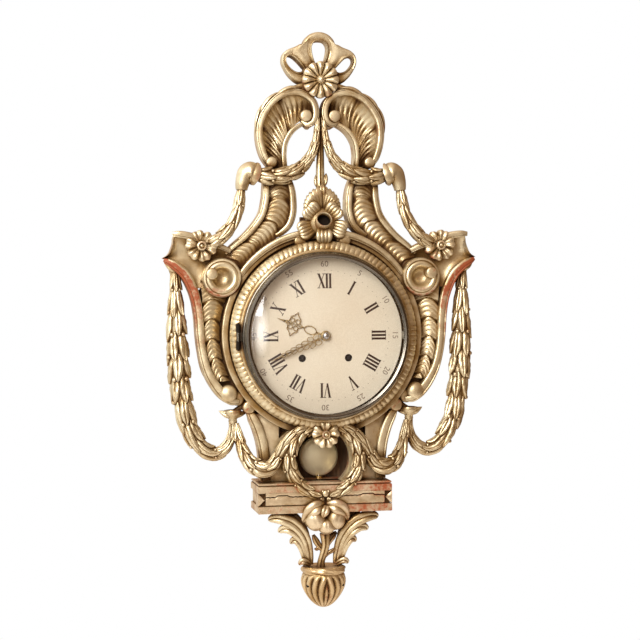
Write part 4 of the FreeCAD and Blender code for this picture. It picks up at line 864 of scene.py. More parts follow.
ear_low = [(121, 92), (140, 84), (155, 64), (164, 64), (173, 80), (184, 90.5), (194, 96.5), (203.5, 100)]
ear_top = [
    (118, 109, 67, 3.2), (137, 117.6, 70, 4), (158, 125, 72, 4.6), (176, 129.5, 73, 4.6),
    (186, 130.6, 73, 4.2), (193, 130.6, 71, 3)]
under_lip = [
    [(203, 97.5, 58, 1), (196, 90.5, 62, 4.5), (189, 86, 62, 4.6), (185, 80, 58, 0.8)],
    [(199, 97, 54, 1), (193, 88, 55, 4.4), (191, 80, 54, 3.6), (190.5, 73, 53, 0.8)]]
VOLUTE = (130, 75)
volute_form = [
    (AXIS, 62), (5, 62.2), (9, 64), (11.5, 68), (13, 72.5), (14.6, 74.8), (17, 75.6), (19.6, 75),
    (20.6, 73.8), (21.6, 75), (23.6, 74.8), (25, 72.4), (25.2, 69), (25.2, 44), (AXIS, 44)]
ear = ruled(ear_high, ear_low, 48, (67, 60, 57, 58, 63), BOARD_BACK)
console = [ground, shells, band(outer_strap, 26, -1.0), ear, band(ear_top, 26),
           turned(volute_form, *VOLUTE, 72), eye(143.4, 80, 7.4, 60, 77.8),
           knob(122.5, -73.5, 11.5, EYE_BACK, 73), eye(111, -80, 9, EYE_BACK, 66)]
console += lobes(under_lip, 0.5, 0.25)


def strap_bare(x, z, f):
    # the outer edge of the strap is bare above, the foot of the volute only in patches
    across = np.interp(z, [-70, -42, -20, 0, 25, 45, 62, 78, 90, 99],
                       [136, 149, 154, 156, 157, 160, 165, 173, 186, 201])
    on_strap = (np.abs(x) - across > -2.5) & (np.abs(x) - across < 11) & (f > 58) & (z < 101)
    strength = np.interp(z, [-60, -25, 0, 25, 45, 60, 92], [0.04, 0.12, 0.28, 0.4, 0.6, 0.75, 0.75])
    volute = (np.hypot(np.abs(x) - VOLUTE[0], z - VOLUTE[1]) < 26) & (z < 62) & (f > 66)
    return np.where(on_strap, strength, np.where(volute, 0.4, 0.0))


# console gilding with less painted shade in its hollows, so the ears read lighter
light_shade_gilt = gilt_finish("gilt_light_shade", {"Hollow_Shade": 0.9})
carve_pair("console", console, material=light_shade_gilt, bare=strap_bare, seat=0.05)


# Ear rosettes: six grooved, heart-shaped petals round a ringed button, of limewood in the same pale
# gilding. Carved apart and pegged to the ears.

ear_spot = (156, 115.7)
button_ring = [(3.4, 73), (3.4, 78.4), (4.4, 79.6), (5.6, 79.2), (6.2, 77), (6.2, 73)]
rosettes = mirror(daisy(*ear_spot, 20.6, 6, 62, 16.5, button=0.24, heart=0.07, gap=0.2, turn_by=0.3, flat=6,
                        base=0.36, ridge=-0.05), turned(button_ring, *ear_spot, 36, loop=True))
carve("ear_rosettes_carved", rosettes, ["ear_rosettes"], material=pale_gilt,
      bare=lambda x, z, f: np.where((z < 112) & (np.abs(x) < 152), 0.26, 0.05))


# Drop garlands: laurel ropes that hang from the lips of the ears, thicken downwards and hook up at the foot
# into a flared bud pegged to the band of the surround.

DROP_MIDDLE = 56
drop_line = [
    (189, 92, 6), (188.5, 80, 7.4), (188, 58, 9.4), (187.5, 36, 11.6), (187, 10, 13.6), (186, -15, 15),
    (184.5, -45, 15.4), (182, -72, 14.8), (177.5, -98, 14), (169, -124, 13), (156, -143, 11.6),
    (142, -150, 10.2), (128, -146, 8.8), (119, -134, 7), (116, -119, 5.8), (116, -108, 5)]
drop = [(x, z, DROP_MIDDLE, radius) for x, z, radius in drop_line]
bud_form = [
    (AXIS, -113), (4.6, -112.5), (5.8, -109.5), (5.2, -107), (6.6, -105), (10, -101.5), (11.6, -98),
    (10.8, -95), (7, -94.4), (AXIS, -95.6)]


def upright(profile, x, forward, sides=40, wave=None):
    # profile: (radius, z) pairs turned about an upright axis
    turn = full_turn(sides)
    rows = []
    for r, z in profile:
        reach = r * (1 + wave(turn, z)) if wave else np.full(sides, r)
        rows.append(np.column_stack([x + reach * np.sin(turn), 0 * turn + z,
                                     forward + reach * np.cos(turn)]))
    return skin(np.array(rows))


bud_tips = [
    [(118, -101, 58, 5), (124, -100, 58, 5), (130, -97.6, 57, 2.6), (134, -95.6, 56, 0.3)],
    [(114, -101, 58, 5), (108, -100, 58, 4.6), (102, -99, 57, 2.6), (98, -98.4, 56, 0.3)]]
bud_peg = [(114, -98, 56, 4.4), (108, -93, 56, 3.6), (101, -88, 56, 4.4), (97, -85, 56, 4.6)]
drops = laurel(drop, 11, 5, 7) + [upright(bud_form, 116, DROP_MIDDLE), lobe(bud_peg, 0.9, 0.0)]
drops += lobes(bud_tips, 0.9, 0.15)
carve_pair("drop_garland", drops)


# Wreath round the pendulum window: two laurel branches that hang from a rosette of five petals and meet at
# three berries at the foot, carved apart and glued to the waist board.

wreath_radius = 45.5
wreath_foot = WINDOW_Z - wreath_radius
branch = [(wreath_radius * math.sin(a), WINDOW_Z - wreath_radius * math.cos(a), 75, 9.9)
          for a in np.linspace(math.pi - 0.12, 0.1, 14)]
window_lip = [(37.2, 58), (37.2, 66), (38.2, 68), (41, 68.6), (43, 66), (43, 58)]
berries = [knob(0, wreath_foot + 2, 4.6, 60, 84)]
berries += [knob(x, wreath_foot - 5, 3.2, 60, 82) for x in (4.6, -4.6)]
wreath = mirror(*laurel(branch, 7, 5, 11)) + [turned(window_lip, 0, WINDOW_Z, 96, loop=True)] + berries
carve("wreath_carved", wreath, ["wreath"])
five_z = -126.5
five = daisy(0, five_z, 18, 5, 79.5, 13.5, button=0.26, heart=0.1, gap=0.13, flat=8, base=0.36, ridge=-0.06)
five_ring = turned([(3.2, 86), (3.2, 92.4), (4.2, 93.4), (5.2, 92.4), (5.4, 86)], 0, five_z, 36, loop=True)
carve("wreath_rosette_carved", [five, five_ring], ["wreath_rosette"], material=pale_gilt,
      bare=lambda x, z, f: np.where(f > 91, 0.12, 0.02))


# Lower swags: short laurel ropes of gilded limewood from the foot of the drop garlands to the head of the
# wreath, carved in the round and glued on.

low_swag = [
    (112, -112, 58, 4.5), (108.5, -130, 61, 7), (103.5, -149, 66, 9), (94, -164, 71, 11.4),
    (79, -170.5, 73, 12), (67, -164.5, 73, 10), (60, -153, 74, 8), (53.5, -141, 77, 6.8),
    (45, -129.5, 79, 6), (33, -120, 82, 5.4), (24, -117, 83, 3)]
carve_pair("lower_swag", laurel(low_swag, 8, 5, 17))


# Plinth: moulded block with mitred returns; its front has a sunk panel with a raised tablet whose upper edge
# steps up and down. The leaf is thin here, and the bole shows on the right half.

plinth_half, plinth_front, plinth_back = 87.4, 81, 12.0
CRISP = 30


def moulded_block(half, front, low, high, ease=0.8):
    # block with its front and returns at one depth and eased edges above and below
    rows = []
    for inset, z in ((ease, low), (0, low + ease), (0, high - ease), (ease, high)):
        corners = ((-1, 0), (-1, 1), (1, 1), (1, 0))
        rows.append([(s * (half - inset), z, front - inset if t else plinth_back) for s, t in corners])
    return skin(np.array(rows))


plinth_parts = [moulded_block(plinth_half - 0.6, 80.8, -191.3, WAIST_FOOT),
                moulded_block(plinth_half - 2, 79, -192.4, -191),
                moulded_block(plinth_half, plinth_front, -201.4, -192.2),
                moulded_block(plinth_half - 2.4, 75.6, -218, -201, 0.1),
                moulded_block(plinth_half, plinth_front, -227.5, -217.8)]
groove = 0.75
for side in (-1, 1):
    wedge_low = [(side * plinth_half, -217.9), (side * 79, -210.2)]
    wedge_high = [(side * plinth_half, -201.3), (side * 79, -209)]
    plinth_parts.append(ruled(wedge_low, wedge_high, 10, (80, plinth_front, plinth_front, plinth_front, 80),
                              60, 9))
    spots = np.linspace(2, 77.5, 76)
    step_up = 2.4 / (1 + np.exp(-(8.2 - np.abs(spots - 55.5)) / 0.6))
    teeth = 0.6 * np.abs(np.sin(spots / 1.9)) * (np.abs(spots - 55.5) > 9)
    edge = -206.6 + step_up + teeth
    rail = [(side * x, z + groove) for x, z in zip(spots, edge)]
    tablet = [(side * x, z - groove) for x, z in zip(spots, edge)]
    rail_head = [(side * x, -200.8) for x in spots]
    plinth_parts.append(ruled(rail_head, rail, 90, (plinth_front, plinth_front, 80.6), 70, 6))
    tablet_foot = [(side * x, -216.6) for x in spots]
    plinth_parts.append(ruled(tablet, tablet_foot, 90, (79.8, 80.4, 80.4, 79.8), 70, 6))


def plinth_bare(x, z, f):
    return 0.06 + 0.24 * np.clip((x - 10) / 50, 0, 1) + 0.06 * np.where(z > -201, 1, 0) * (x > -60)


rosy_gilt = gilt_finish("gilt_rosy", {"Leaf": (0.80, 0.675, 0.47, 1), "Rub": 0.08}, 0.1, 0.35)
carve("plinth_carved", plinth_parts, ["plinth"], material=rosy_gilt, bare=plinth_bare, sharp=CRISP)


# Fruit: two plump lobes with a third between them, capped by broad sepals, hung under the front of the
# plinth and rubbed red where the leaf has gone.

def plump(x, z, across, up, deep, forward, lean, seam):
    # swollen lobe, a little irregular, with soft seams that run from its head to its foot
    fall = np.linspace(0.04, math.pi - 0.04, 30)[:, None]
    turn = full_turn(48)[None, :]
    seams = seam * np.exp(-((np.sin(2.5 * turn + lean)) / 0.25) ** 2) * np.sin(fall)
    swell = 1 - seams + 0.04 * np.sin(3 * fall + turn)
    right = across * np.sin(fall) * np.sin(turn) * swell
    rise = up * np.cos(fall) * (1 + 0 * turn)
    out = deep * np.sin(fall) * np.cos(turn) * swell
    c, s = math.cos(lean), math.sin(lean)
    return skin(np.stack([x + right * c - rise * s, z + right * s + rise * c, forward + out], axis=2))


fruit = [plump(-12.5, -236.5, 14.5, 15.5, 15, 73, 0.35, 0.05),
         plump(13.5, -236, 14.5, 15.5, 14, 72, -0.3, 0.07),
         plump(1.5, -245.5, 11.5, 11, 12, 75, 0.1, 0.06)]
sepals = [
    [(-2, -218, 80, 5), (-11, -219.5, 85, 9), (-20, -225.5, 84, 9), (-26.5, -235, 78, 5),
     (-28, -240, 74, 1)],
    [(2, -218, 80, 5), (12, -219, 84, 9), (21.5, -224, 83, 9), (28, -233, 77, 5), (30, -239, 73, 1)],
    [(1, -219, 83, 4), (-1, -224.5, 86, 5.5), (-3.5, -230, 86, 4), (-4.5, -234, 84, 0.8)]]
fruit += lobes(sepals, 0.4, 0.35)
carve("fruit_carved", fruit, ["fruit"], material=rosy_gilt,
      bare=lambda x, z, f: 0.2 + 0.16 * np.clip(x / 18, 0, 1))


# Finial: bud with swirling flutes that meet at a seam, under a lip of overlapping petals, with the forked
# twig that rises from it to the fruit. A near-black bead in each cheek is painted shade for a hole.

finial_mid = 60.0
finial_step, finial_sides = 0.9, 216
finial_form = [
    (AXIS, -352.4), (5, -351.8), (11, -348.5), (17.4, -342.5), (23, -334.5), (26.8, -326), (28.2, -318),
    (27.8, -311), (26.4, -307.5), (25.6, -305.2), (25.8, -303), (25.6, -300.8), (23, -299.6), (8, -300.4),
    (AXIS, -300.4)]


def bud_flutes(turn, z):
    # flutes that lean towards a seam at the front
    aside = np.abs((turn + math.pi) % (2 * math.pi) - math.pi)
    lean = 0.005 * (z + 330) + 0.0003 * (z + 330) ** 2
    depth = 0.17 * np.clip((-308 - z) / 6, 0, 1)
    return depth * (np.abs(np.cos(8.5 * (aside + lean) + 0.5)) ** 0.7 - 0.8)


def denser(profile, step):
    # profile with even steps, smoothed
    line = plan_line(profile, int(length_of(profile) / step))
    return [(max(r, AXIS), z) for r, z in line]


lip_form = [
    (12, -302), (20, -308.5), (25.6, -308.4), (28, -305.4), (28.6, -302.4), (27.6, -300), (25, -298.8),
    (18, -300)]


def lip_scallops(turn, z):
    # seven petals that lap over the edge, each a little different
    return 0.05 * np.abs(np.cos(3.5 * turn + 0.4)) + 0.02 * np.sin(5 * turn + z) - 0.03


twig = [(-4, -302, 62, 6.4), (-3, -292, 63, 4.8), (0, -282, 64, 5), (2.4, -271, 65, 5.4), (1.5, -256, 66, 7)]
shoots = [
    [(0, -287, 63, 3), (6, -282, 64, 2.8), (11, -279.5, 64, 2.8), (16, -276, 63, 1.6),
     (19, -273.5, 62, 0.6)],
    [(2, -275, 64, 3.4), (7, -267, 64, 4), (12, -260, 64, 4.6), (17, -255.5, 62, 2)],
    [(0.5, -280, 63, 3.4), (-6, -272, 64, 4), (-10.5, -265, 64, 4.2), (-13.5, -258, 63, 2)],
    [(-5, -272, 64, 2.4), (-9, -276.5, 64, 2.6), (-12, -276, 63, 0.8)]]
finial_forms = ((finial_form, bud_flutes), (lip_form, lip_scallops))
finial = [upright(denser(form, finial_step), 0, finial_mid, finial_sides, wave)
          for form, wave in finial_forms]
finial += [lobe(twig, 0.9, 0.2)] + lobes(shoots, 0.8, 0.25)
# darker leaf, rubbed more, with more painted shade in the hollows
brown_gilt = gilt_finish("gilt_foot", {"Leaf": (0.72, 0.56, 0.33, 1), "Hollow_Shade": 1.6, "Rub": 0.2}, 0.2,
                         bump=0.1, sheen=0.3)
carve("finial_carved", finial, ["finial"], material=brown_gilt,
      bare=lambda x, z, f: np.where(z < -309, 0.1 + 0.26 * np.exp(-((x - 3) / 5) ** 2), 0.1))
carve("finial_eyes", [ball(np.array([side * 22.4, -322.0, 74.6]), 2.6) for side in (-1, 1)], [],
      material=painted_shade_black)


# Leaf brackets: pierced acanthus from the foot of the plinth to the lip of the finial, each leaf of several
# fluted lobes with round tips that curl outwards.

acanthus = [
    [(17, -297, 58, 4), (18, -284, 60, 5), (22, -267, 63, 6.4), (30, -252, 66, 7.6), (42, -241, 68, 8),
     (55, -235.5, 69, 7.4), (65, -234.4, 67, 6), (70, -236, 65, 4), (72, -237.4, 64, 0.8)],
    [(20, -296, 57, 4), (22.5, -282, 60, 5), (27, -267, 63, 6), (35, -256, 66, 6.6), (45, -249.5, 67, 6.2),
     (53, -249, 65, 5.4), (57, -251.6, 63, 3.6), (58.6, -253.6, 62, 0.8)],
    [(22, -297, 57, 4), (24.5, -284, 60, 5), (28.5, -273, 62, 5.6), (34, -266, 64, 5.2), (39, -264, 63, 4.8),
     (41.6, -267, 61, 3.2), (42.4, -269.4, 60, 0.8)],
    [(17, -297.5, 60, 3), (23, -293.5, 63, 4), (28, -292, 64, 4.4), (31, -294.5, 63, 3),
     (31.6, -297, 62, 0.8)],
    [(46, -228, 56, 6), (37, -236, 61, 6.6), (29, -246, 63, 6), (23, -258, 62, 4.8), (19, -272, 59, 1)]]


def fingered(stations):
    # leaf lobe carved into two parallel flutes that run on to its round tip
    line = np.array(stations)
    ahead = np.gradient(line[:, :2], axis=0)
    ahead /= np.linalg.norm(ahead, axis=1)[:, None]
    parts = [lobe(stations, 0.26, 0.0)]
    for side in (-0.46, 0.46):
        finger = line.copy()
        finger[:, 0] += side * ahead[:, 1] * line[:, 3]
        finger[:, 1] -= side * ahead[:, 0] * line[:, 3]
        finger[:, 2] += line[:, 3] * 0.2
        finger[:, 3] = line[:, 3] * 0.54
        parts.append(lobe(finger.tolist(), 0.8, 0.0, around=14))
    return parts


bracket = [part for line in acanthus for part in fingered(line)]
carve_pair("leaf_bracket", bracket, bare=lambda x, z, f: 0.08 + 0.1 * np.where(z < -270, 1.0, 0.0))


# Bezel: turned and reeded brass ring, brown with age, that holds the domed glass and swings on the hinge at
# the left. The hinge leaves, pin and catch of the frame keep their shapes.

old_brass = aged("old_brass", (0.2, 0.18, 0.15), (0.035, 0.028, 0.02), 0.01, 1.0, Amount=0.8, Gloss=0.22,
                 Matt=0.28, Fine=90.0)
SIGHT = 99.0
bezel_form = [
    (102.0, 90.3), (107.5, 90.3), (107.5, 94.4), (106.9, 95.4), (107.4, 96.4), (107.4, 98.6), (106.8, 99.6),
    (105.8, 100), (106.2, 101), (106, 103.6), (105.2, 105.2), (104.6, 106), (104.9, 107), (104.4, 108.8),
    (103.2, 109.8), (101.6, 110), (100.4, 109.4), (100.2, 108.6), (99.4, 108.2), (SIGHT, 107.2),
    (SIGHT, 106.5), (102, 106.5)]
hinge_x, hinge_half = -112.5, 5.5
tab_low, tab_high = [[(hinge_x, z), (-106, z)] for z in (-hinge_half, hinge_half)]
tab = ruled(tab_low, tab_high, 6, (94, 94), 91.5, 6)
knuckle_form = [(1.3, -hinge_half), (2.6, -hinge_half), (2.6, hinge_half), (1.3, hinge_half)]
knuckle = upright(knuckle_form, hinge_x, 93, 28)
carve("bezel_reeded", [turned(bezel_form, 0, 0, 240, loop=True), tab, knuckle], ["bezel"],
      material=old_brass, body="bezel", slot="brass", sharp=CRISP)
dress(old_brass, ["bezel_catch"])
# hinge leaf and pin painted near-black as the shadow round the hinge
dress(painted_shade_black, ["hinge_leaf", "hinge_pin"])


# Glass: domed crystal of clear old glass with a slight ripple, bent over a mould, ground round and cemented
# behind the rim of the bezel.

def glass_finish():
    material, tree = blank_material("crystal")
    place = add_node(tree, "TexCoord").outputs["Object"]
    ripple = noise(tree, place, 14, 2)
    relief = add_node(tree, "Bump", {"Strength": 0.04, "Distance": BUMP_DEPTH, "Height": ripple})
    dust = spread(tree, noise(tree, place, 500, 3), 0.5, 0.8, 0.0, 0.05)
    shader = add_node(tree, "BsdfPrincipled", {"Base Color": (1, 1, 1, 1), "Roughness": dust, "IOR": 1.46,
                                               "Transmission Weight": 1.0, "Normal": relief.outputs[0]})
    clear = add_node(tree, "BsdfTransparent")
    gloss = add_node(tree, "LightPath")
    through = figure(tree, "MAXIMUM", gloss.outputs["Is Shadow Ray"], gloss.outputs["Is Diffuse Ray"])
    both = add_node(tree, "MixShader", {0: through, 1: shader.outputs[0], 2: clear.outputs[0]})
    show(tree, both)
    return material


glass_edge, glass_rise, glass_thick = 106.3, 12.0, 1.8
arc = np.linspace(0.0002, 1, 40)
front_arc = [(98.4 * s, glass_edge + glass_rise * (1 - s * s)) for s in arc]
back_arc = [(r, f - glass_thick) for r, f in front_arc]
rim_step = [(101.6, glass_edge), (101.6, glass_edge - glass_thick)]
carve("crystal_dome", [turned(front_arc + rim_step + back_arc[::-1], 0, 0, 180)], ["bezel_glass"],
      material=glass_finish(), body="bezel", slot="glass")


# Dial: copper plate enamelled cream, a little domed, with fired black Roman hours and small minute figures.
# Two holes let the key through to the winding squares.

def enamel_group():
    group, given, result = new_group(
        "aged_enamel",
        (("Cream", "Color", (0.70, 0.65, 0.525, 1)), ("Tan", "Color", (0.55, 0.42, 0.27, 1))),
        SURFACE)
    place = add_node(group, "TexCoord").outputs["Object"]
    slow = noise(group, place, 11, 4)
    crack = add_node(group, "TexVoronoi", {"Vector": place, "Scale": 70.0},
                     feature="DISTANCE_TO_EDGE").outputs[0]
    specks = noise(group, place, 700, 2)
    tanned = colour_mix(group, spread(group, slow, 0.35, 0.8, 0, 0.4), given["Cream"], given["Tan"])
    spotted = colour_mix(group, spread(group, specks, 0.69, 0.78, 0, 0.35), tanned, given["Tan"])
    lined = colour_mix(group, spread(group, crack, 0.0, 0.012, 0.1, 0), spotted, given["Tan"])
    relief = plus(group, slow, times(group, specks, 0.1))
    return give(group, result, lined, spread(group, specks, 0.3, 0.7, 0.2, 0.34), relief)


enamel = make_finish("cream_enamel", enamel_group(), {}, 0.08, Metallic=0.0, Coat_Weight=0.25)
dial_radius, dial_edge, dial_rise = 100.4, 85.0, 3.0


def dial_height(reach):
    return dial_edge + dial_rise * (1 - (reach / dial_radius) ** 2)


ARBOR_HOLE, PLATE_THICK = 4.25, 1.2
WIND_X, WIND_Z, WIND_HOLE = 30.0, -28.6, 4.8
rings = [ARBOR_HOLE] + [ARBOR_HOLE + (dial_radius - ARBOR_HOLE) * s for s in np.linspace(0.02, 1, 46)]
dial_form = [(r, dial_height(r)) for r in rings] + [(dial_radius, 83.9)]
dial_form += [(r, dial_height(r) - PLATE_THICK) for r in rings[::-1]]
dial = carve("enamel_dial", [turned(dial_form, 0, 0, 180, loop=True)], ["dial_plate"], material=enamel,
             slot="dial_enamel")
drill = [on_ring(WIND_HOLE, 7.5 * n) for n in range(48)]
for side in (-1, 1):
    saw_through(dial, [(side * WIND_X + x, WIND_Z + z) for x, z in drill], 70, 100)
ink = aged("fired_black", (0.018, 0.006, 0.004), (0.06, 0.02, 0.012), 0.02, 0.0, Amount=0.6)
faded_ink = aged("faded_black", (0.16, 0.115, 0.085), (0.3, 0.22, 0.15), 0.02, 0.0, Amount=0.7)
NUMERAL_HEIGHT, NUMERAL_RADIUS, THICK, THIN = 18.0, 70.0, 1.35, 0.42
WIDTHS = {"I": 4.4, "V": 9.6, "X": 9.8}
SIDE_GAP, LEAN, SERIF, PAINT = 0.9, 0.6, 2.0, 0.12


def round_dial(across, up, angle):
    # from a figure's own frame, upright at the top of the dial, to its place at this angle
    c, s = cos_sin(angle)
    return across * c + up * s, -across * s + up * c


def dial_stroke(a, b, half_a, half_b, angle):
    # painted bar from a to b in a numeral's own frame (across, up), laid on the dome at the hour's angle
    a, b = np.array(a, float), np.array(b, float)
    way = (b - a) / np.linalg.norm(b - a)
    aside = np.array([-way[1], way[0]])
    share = np.linspace(0, 1, 5)[:, None]
    spot, half = a + (b - a) * share, half_a + (half_b - half_a) * share
    flat = np.stack([spot - aside * half, spot + aside * half], axis=1)
    x, z = round_dial(flat[:, :, 0], flat[:, :, 1] + NUMERAL_RADIUS, angle)
    return relief_block(np.dstack([x, z, dial_height(np.hypot(x, z)) + PAINT]), dial_edge - 0.4)


def numeral(text, angle):
    total = sum(WIDTHS[letter] for letter in text)
    start, top, foot = -total / 2, NUMERAL_HEIGHT / 2, -NUMERAL_HEIGHT / 2
    strokes = []
    for letter in text:
        left, right = start + SIDE_GAP, start + WIDTHS[letter] - SIDE_GAP
        middle = (left + right) / 2
        if letter == "I":
            strokes.append(((middle, foot), (middle, top), THICK, THICK))
            ends = ((middle, foot), (middle, top))
        elif letter == "V":
            ends = ((left + LEAN, top), (right - 0.5, top))
            strokes.append((ends[0], (middle, foot), THICK, THICK * 0.8))
            strokes.append((ends[1], (middle, foot), THIN, THIN))
        else:
            ends = ((left + LEAN, top), (right - LEAN, foot), (right - LEAN, top), (left + LEAN, foot))
            strokes.append((ends[0], ends[1], THICK, THICK))
            strokes.append((ends[2], ends[3], THIN, THIN))
        for x, z in ends:
            strokes.append(((x - SERIF, z), (x + SERIF, z), THIN, THIN))
        start += WIDTHS[letter]
    return [dial_stroke(*stroke, angle) for stroke in strokes]


painted = dict(slot="dial_enamel", sharp=CRISP)
hours = []
for hour, text in enumerate(("XII", "I", "II", "III", "IIII", "V", "VI", "VII", "VIII", "IX", "X", "XI")):
    hours += numeral(text, 30 * hour)
carve("hour_numerals", hours, [], material=ink, **painted)
DOT_CIRCLE = 83.5
dot_level = dial_height(DOT_CIRCLE)
dot_form = [(AXIS, dot_level + 0.1), (0.5, dot_level + 0.1), (0.5, dot_level - 0.5), (AXIS, dot_level - 0.5)]
dots = [turned(dot_form, *on_ring(DOT_CIRCLE, 6 * minute), 10) for minute in range(60)]
carve("minute_dots", dots, [], material=faded_ink, **painted)


def figure_mesh(text, size):
    # plain figures from the built-in type, as points and faces in the figure's own plane
    words = bpy.data.curves.new("minute_figure", "FONT")
    words.body = text
    words.size = size
    words.align_x = "CENTER"
    words.align_y = "CENTER"
    words.extrude = 0.25
    words.resolution_u = 3
    holder = bpy.data.objects.new("minute_figure", words)
    made = bpy.data.meshes.new_from_object(holder)
    points = np.array([v.co for v in made.vertices])
    faces = [list(face.vertices) for face in made.polygons]
    bpy.data.objects.remove(holder)
    bpy.data.meshes.remove(made)
    return points, faces


MINUTE_RADIUS = 91.5
minutes = []
for mark in range(12):
    flat, faces = figure_mesh(str(mark * 5 or 60), 10.5)
    x, z = round_dial(flat[:, 0], flat[:, 1] + MINUTE_RADIUS, 30 * mark)
    minutes.append((np.stack([x, z, dial_height(np.hypot(x, z)) - 0.15 + flat[:, 2]], axis=1), faces))
carve("minute_figures", minutes, [], material=faded_ink, **painted)


# Movement: spring-driven, of cast and cut brass with steel arbors, straps across the ledge and a bell
# behind. Nothing of it shows but the winding squares, so its solids stay and get their metals.

wheel_brass = aged("wheel_brass", (0.80, 0.58, 0.26), (0.28, 0.17, 0.06), 0.04, 1.0, Gloss=0.18, Matt=0.34)
polished_steel = aged("polished_steel", (0.56, 0.56, 0.57), (0.18, 0.15, 0.13), 0.04, 1.0, Gloss=0.16,
                      Matt=0.32)
bell_bronze = aged("bell_bronze", (0.62, 0.46, 0.28), (0.2, 0.12, 0.06), 0.05, 1.0)
black_steel = aged("black_steel", (0.035, 0.035, 0.04), (0.012, 0.01, 0.01), 0.04, 0.6)
dress(wheel_brass, ["front_plate", "back_plate", "pillars", "minute_wheel", "hour_wheel", "centre_wheel",
                    "third_wheel", "escape_wheel", "intermediate_wheel", "going_barrel", "strike_barrel",
                    "pin_wheel", "cannon_pinion", "suspension_cock", "rating_nut"])
dress(polished_steel, ["hanging_plate", "movement_straps", "movement_screws", "hammer", "anchor",
                       "suspension_spring", "pendulum_rod", "bell_post"])
dress(black_steel, ["going_arbor", "strike_arbor"])
dress(bell_bronze, ["bell"])


# Pendulum bob: spun brass lens, dull with age, that hangs on the rod above the rating nut. It is seen in
# the window of the waist, painted paler than its brass as painted light inside the shaded case.

# painted light: the bob's brass is made pale to stand for light falling on it inside the case
dull_brass_painted_pale = aged("dull_brass_painted_pale", (0.74, 0.67, 0.47), (0.36, 0.29, 0.16), 0.02, 0.7, Amount=0.7, Gloss=0.46,
                  Matt=0.6, Fine=90.0)
bob_form = [
    (AXIS, 36), (6, 35.9), (12, 35.2), (18, 33.8), (23, 32), (25.4, 31), (26, 30), (25.4, 29), (23, 28),
    (18, 26.2), (12, 24.8), (6, 24.1), (AXIS, 24)]
carve("pendulum_lens", [turned(bob_form, 0, WINDOW_Z, 96)], ["pendulum_bob"], material=dull_brass_painted_pale,
      body="pendulum", slot="brass")


# Hands: sawn and chased brass, the hour hand a broad rosette of loops with a point, the minute hand slimmer
# and longer, held by a domed steel nut.

hand_brass = aged("hand_brass", (0.52, 0.39, 0.20), (0.14, 0.085, 0.03), 0.04, 1.0, Amount=0.8, Gloss=0.24,
                  Matt=0.42)
WIRE = 0.55
HAND_FORM = np.array([(-1, -0.6), (-1, 0.25), (-0.7, 0.6), (0.7, 0.6), (1, 0.25), (1, -0.6)])


def wire_loop(reach, aside, long, wide, tilt, half=0.5):
    # closed loop of flat wire in a hand's own frame: across, along and depth
    turn = full_turn(36)
    c, s = cos_sin(tilt)
    across, along = wide * np.sin(turn), long * np.cos(turn)
    line = np.stack([aside + across * c - along * s, reach + across * s + along * c, 0 * turn], axis=1)
    section = np.broadcast_to(HAND_FORM * np.array([half, 1.0]), (len(turn), *HAND_FORM.shape))
    return sweep(line, section, loop=True)


def wire_run(spots):
    # open run of flat wire; spots: (across, along, half width)
    line = smooth_line([(a, b, 0, h) for a, b, h in spots], 28)
    section = HAND_FORM[None] * np.stack([line[:, 3], np.ones(len(line))], axis=1)[:, None]
    return sweep(line, section)


def set_hand(parts, angle, front):
    # turns a hand clockwise from twelve and sets it at its depth
    c, s = cos_sin(angle)
    turn = np.array([[c, -s, 0], [s, c, 0], [0, 0, 1.0]])
    return [(points @ turn + np.array([0, 0, front]), faces) for points, faces in parts]


def hand_hub(outer, inner):
    form = [(inner, -0.6), (inner, 0.6), (outer - 0.5, 0.6), (outer, 0.2), (outer, -0.6)]
    return turned(form, 0, 0, 48, loop=True)


hour_point = [(0, 29, 0.5), (0, 36, 0.5), (0, 44, 0.5), (0, 56, 1.2), (0, 60, 0.8), (0, 66, 0.25)]
hour_parts = [hand_hub(6.5, 3.3), wire_run([(0, 6, 1.5), (0, 9, 0.9), (0, 13, 1.1)]),
              wire_loop(21, 0, 8, 5, 0, 0.6), wire_run(hour_point)]
for side in (-1, 1):
    corner = (side * 16, 43.5, 0.4)
    high_wing = [(0, 57, 0.7), (side * 3, 51, WIRE), (side * 8, 50, WIRE), (side * 11, 46.5, WIRE), corner]
    low_wing = [corner, (side * 11, 40.5, WIRE), (side * 8, 37, WIRE), (side * 3, 36, WIRE), (0, 30, WIRE)]
    hour_parts += [wire_run(high_wing), wire_run(low_wing)]
    hour_parts += [wire_loop(reach, side * 4.4, 3.0, 2.8, 0) for reach in (47.2, 39.8)]
minute_point = [(0, 6, 1.2), (0, 20, 0.6), (0, 44, 0.5), (0, 60, 0.9), (0, 68, 0.7), (0, 77, 0.25)]
minute_parts = [hand_hub(6.0, 2.3), wire_run(minute_point)]
for side in (-1, 1):
    minute_parts += [wire_loop(12.5, side * 4.0, 4.4, 3.0, side * 20),
                     wire_loop(20, side * 4.2, 4.2, 2.7, side * -25)]
    for n, reach in enumerate((28.5, 37, 45, 52.5, 59)):
        wide = 3.0 - 0.42 * n
        minute_parts.append(wire_loop(reach, side * wide, 4.2 - 0.25 * n, wide * 0.8, side * -12))
hand_finish = dict(material=hand_brass, slot="brass", sharp=CRISP)
carve("hour_hand_pierced", set_hand(hour_parts, 290.5, 89.5), ["hour_hand"], body="hour", **hand_finish)
carve("minute_hand_pierced", set_hand(minute_parts, 246.0, 92.6), ["minute_hand"], body="minute",
      **hand_finish)
nut_form = [
    (1.56, 93.2), (4.5, 93.2), (4.6, 93.8), (4.3, 94.5), (3.7, 95.5), (2.6, 96.3), (1.3, 96.7), (AXIS, 96.8),
    (AXIS, 95.4), (1.56, 95.4)]
carve("hand_nut_domed", [turned(nut_form, 0, 0, 48)], ["hand_nut"], material=polished_steel, body="minute",
      slot="steel")


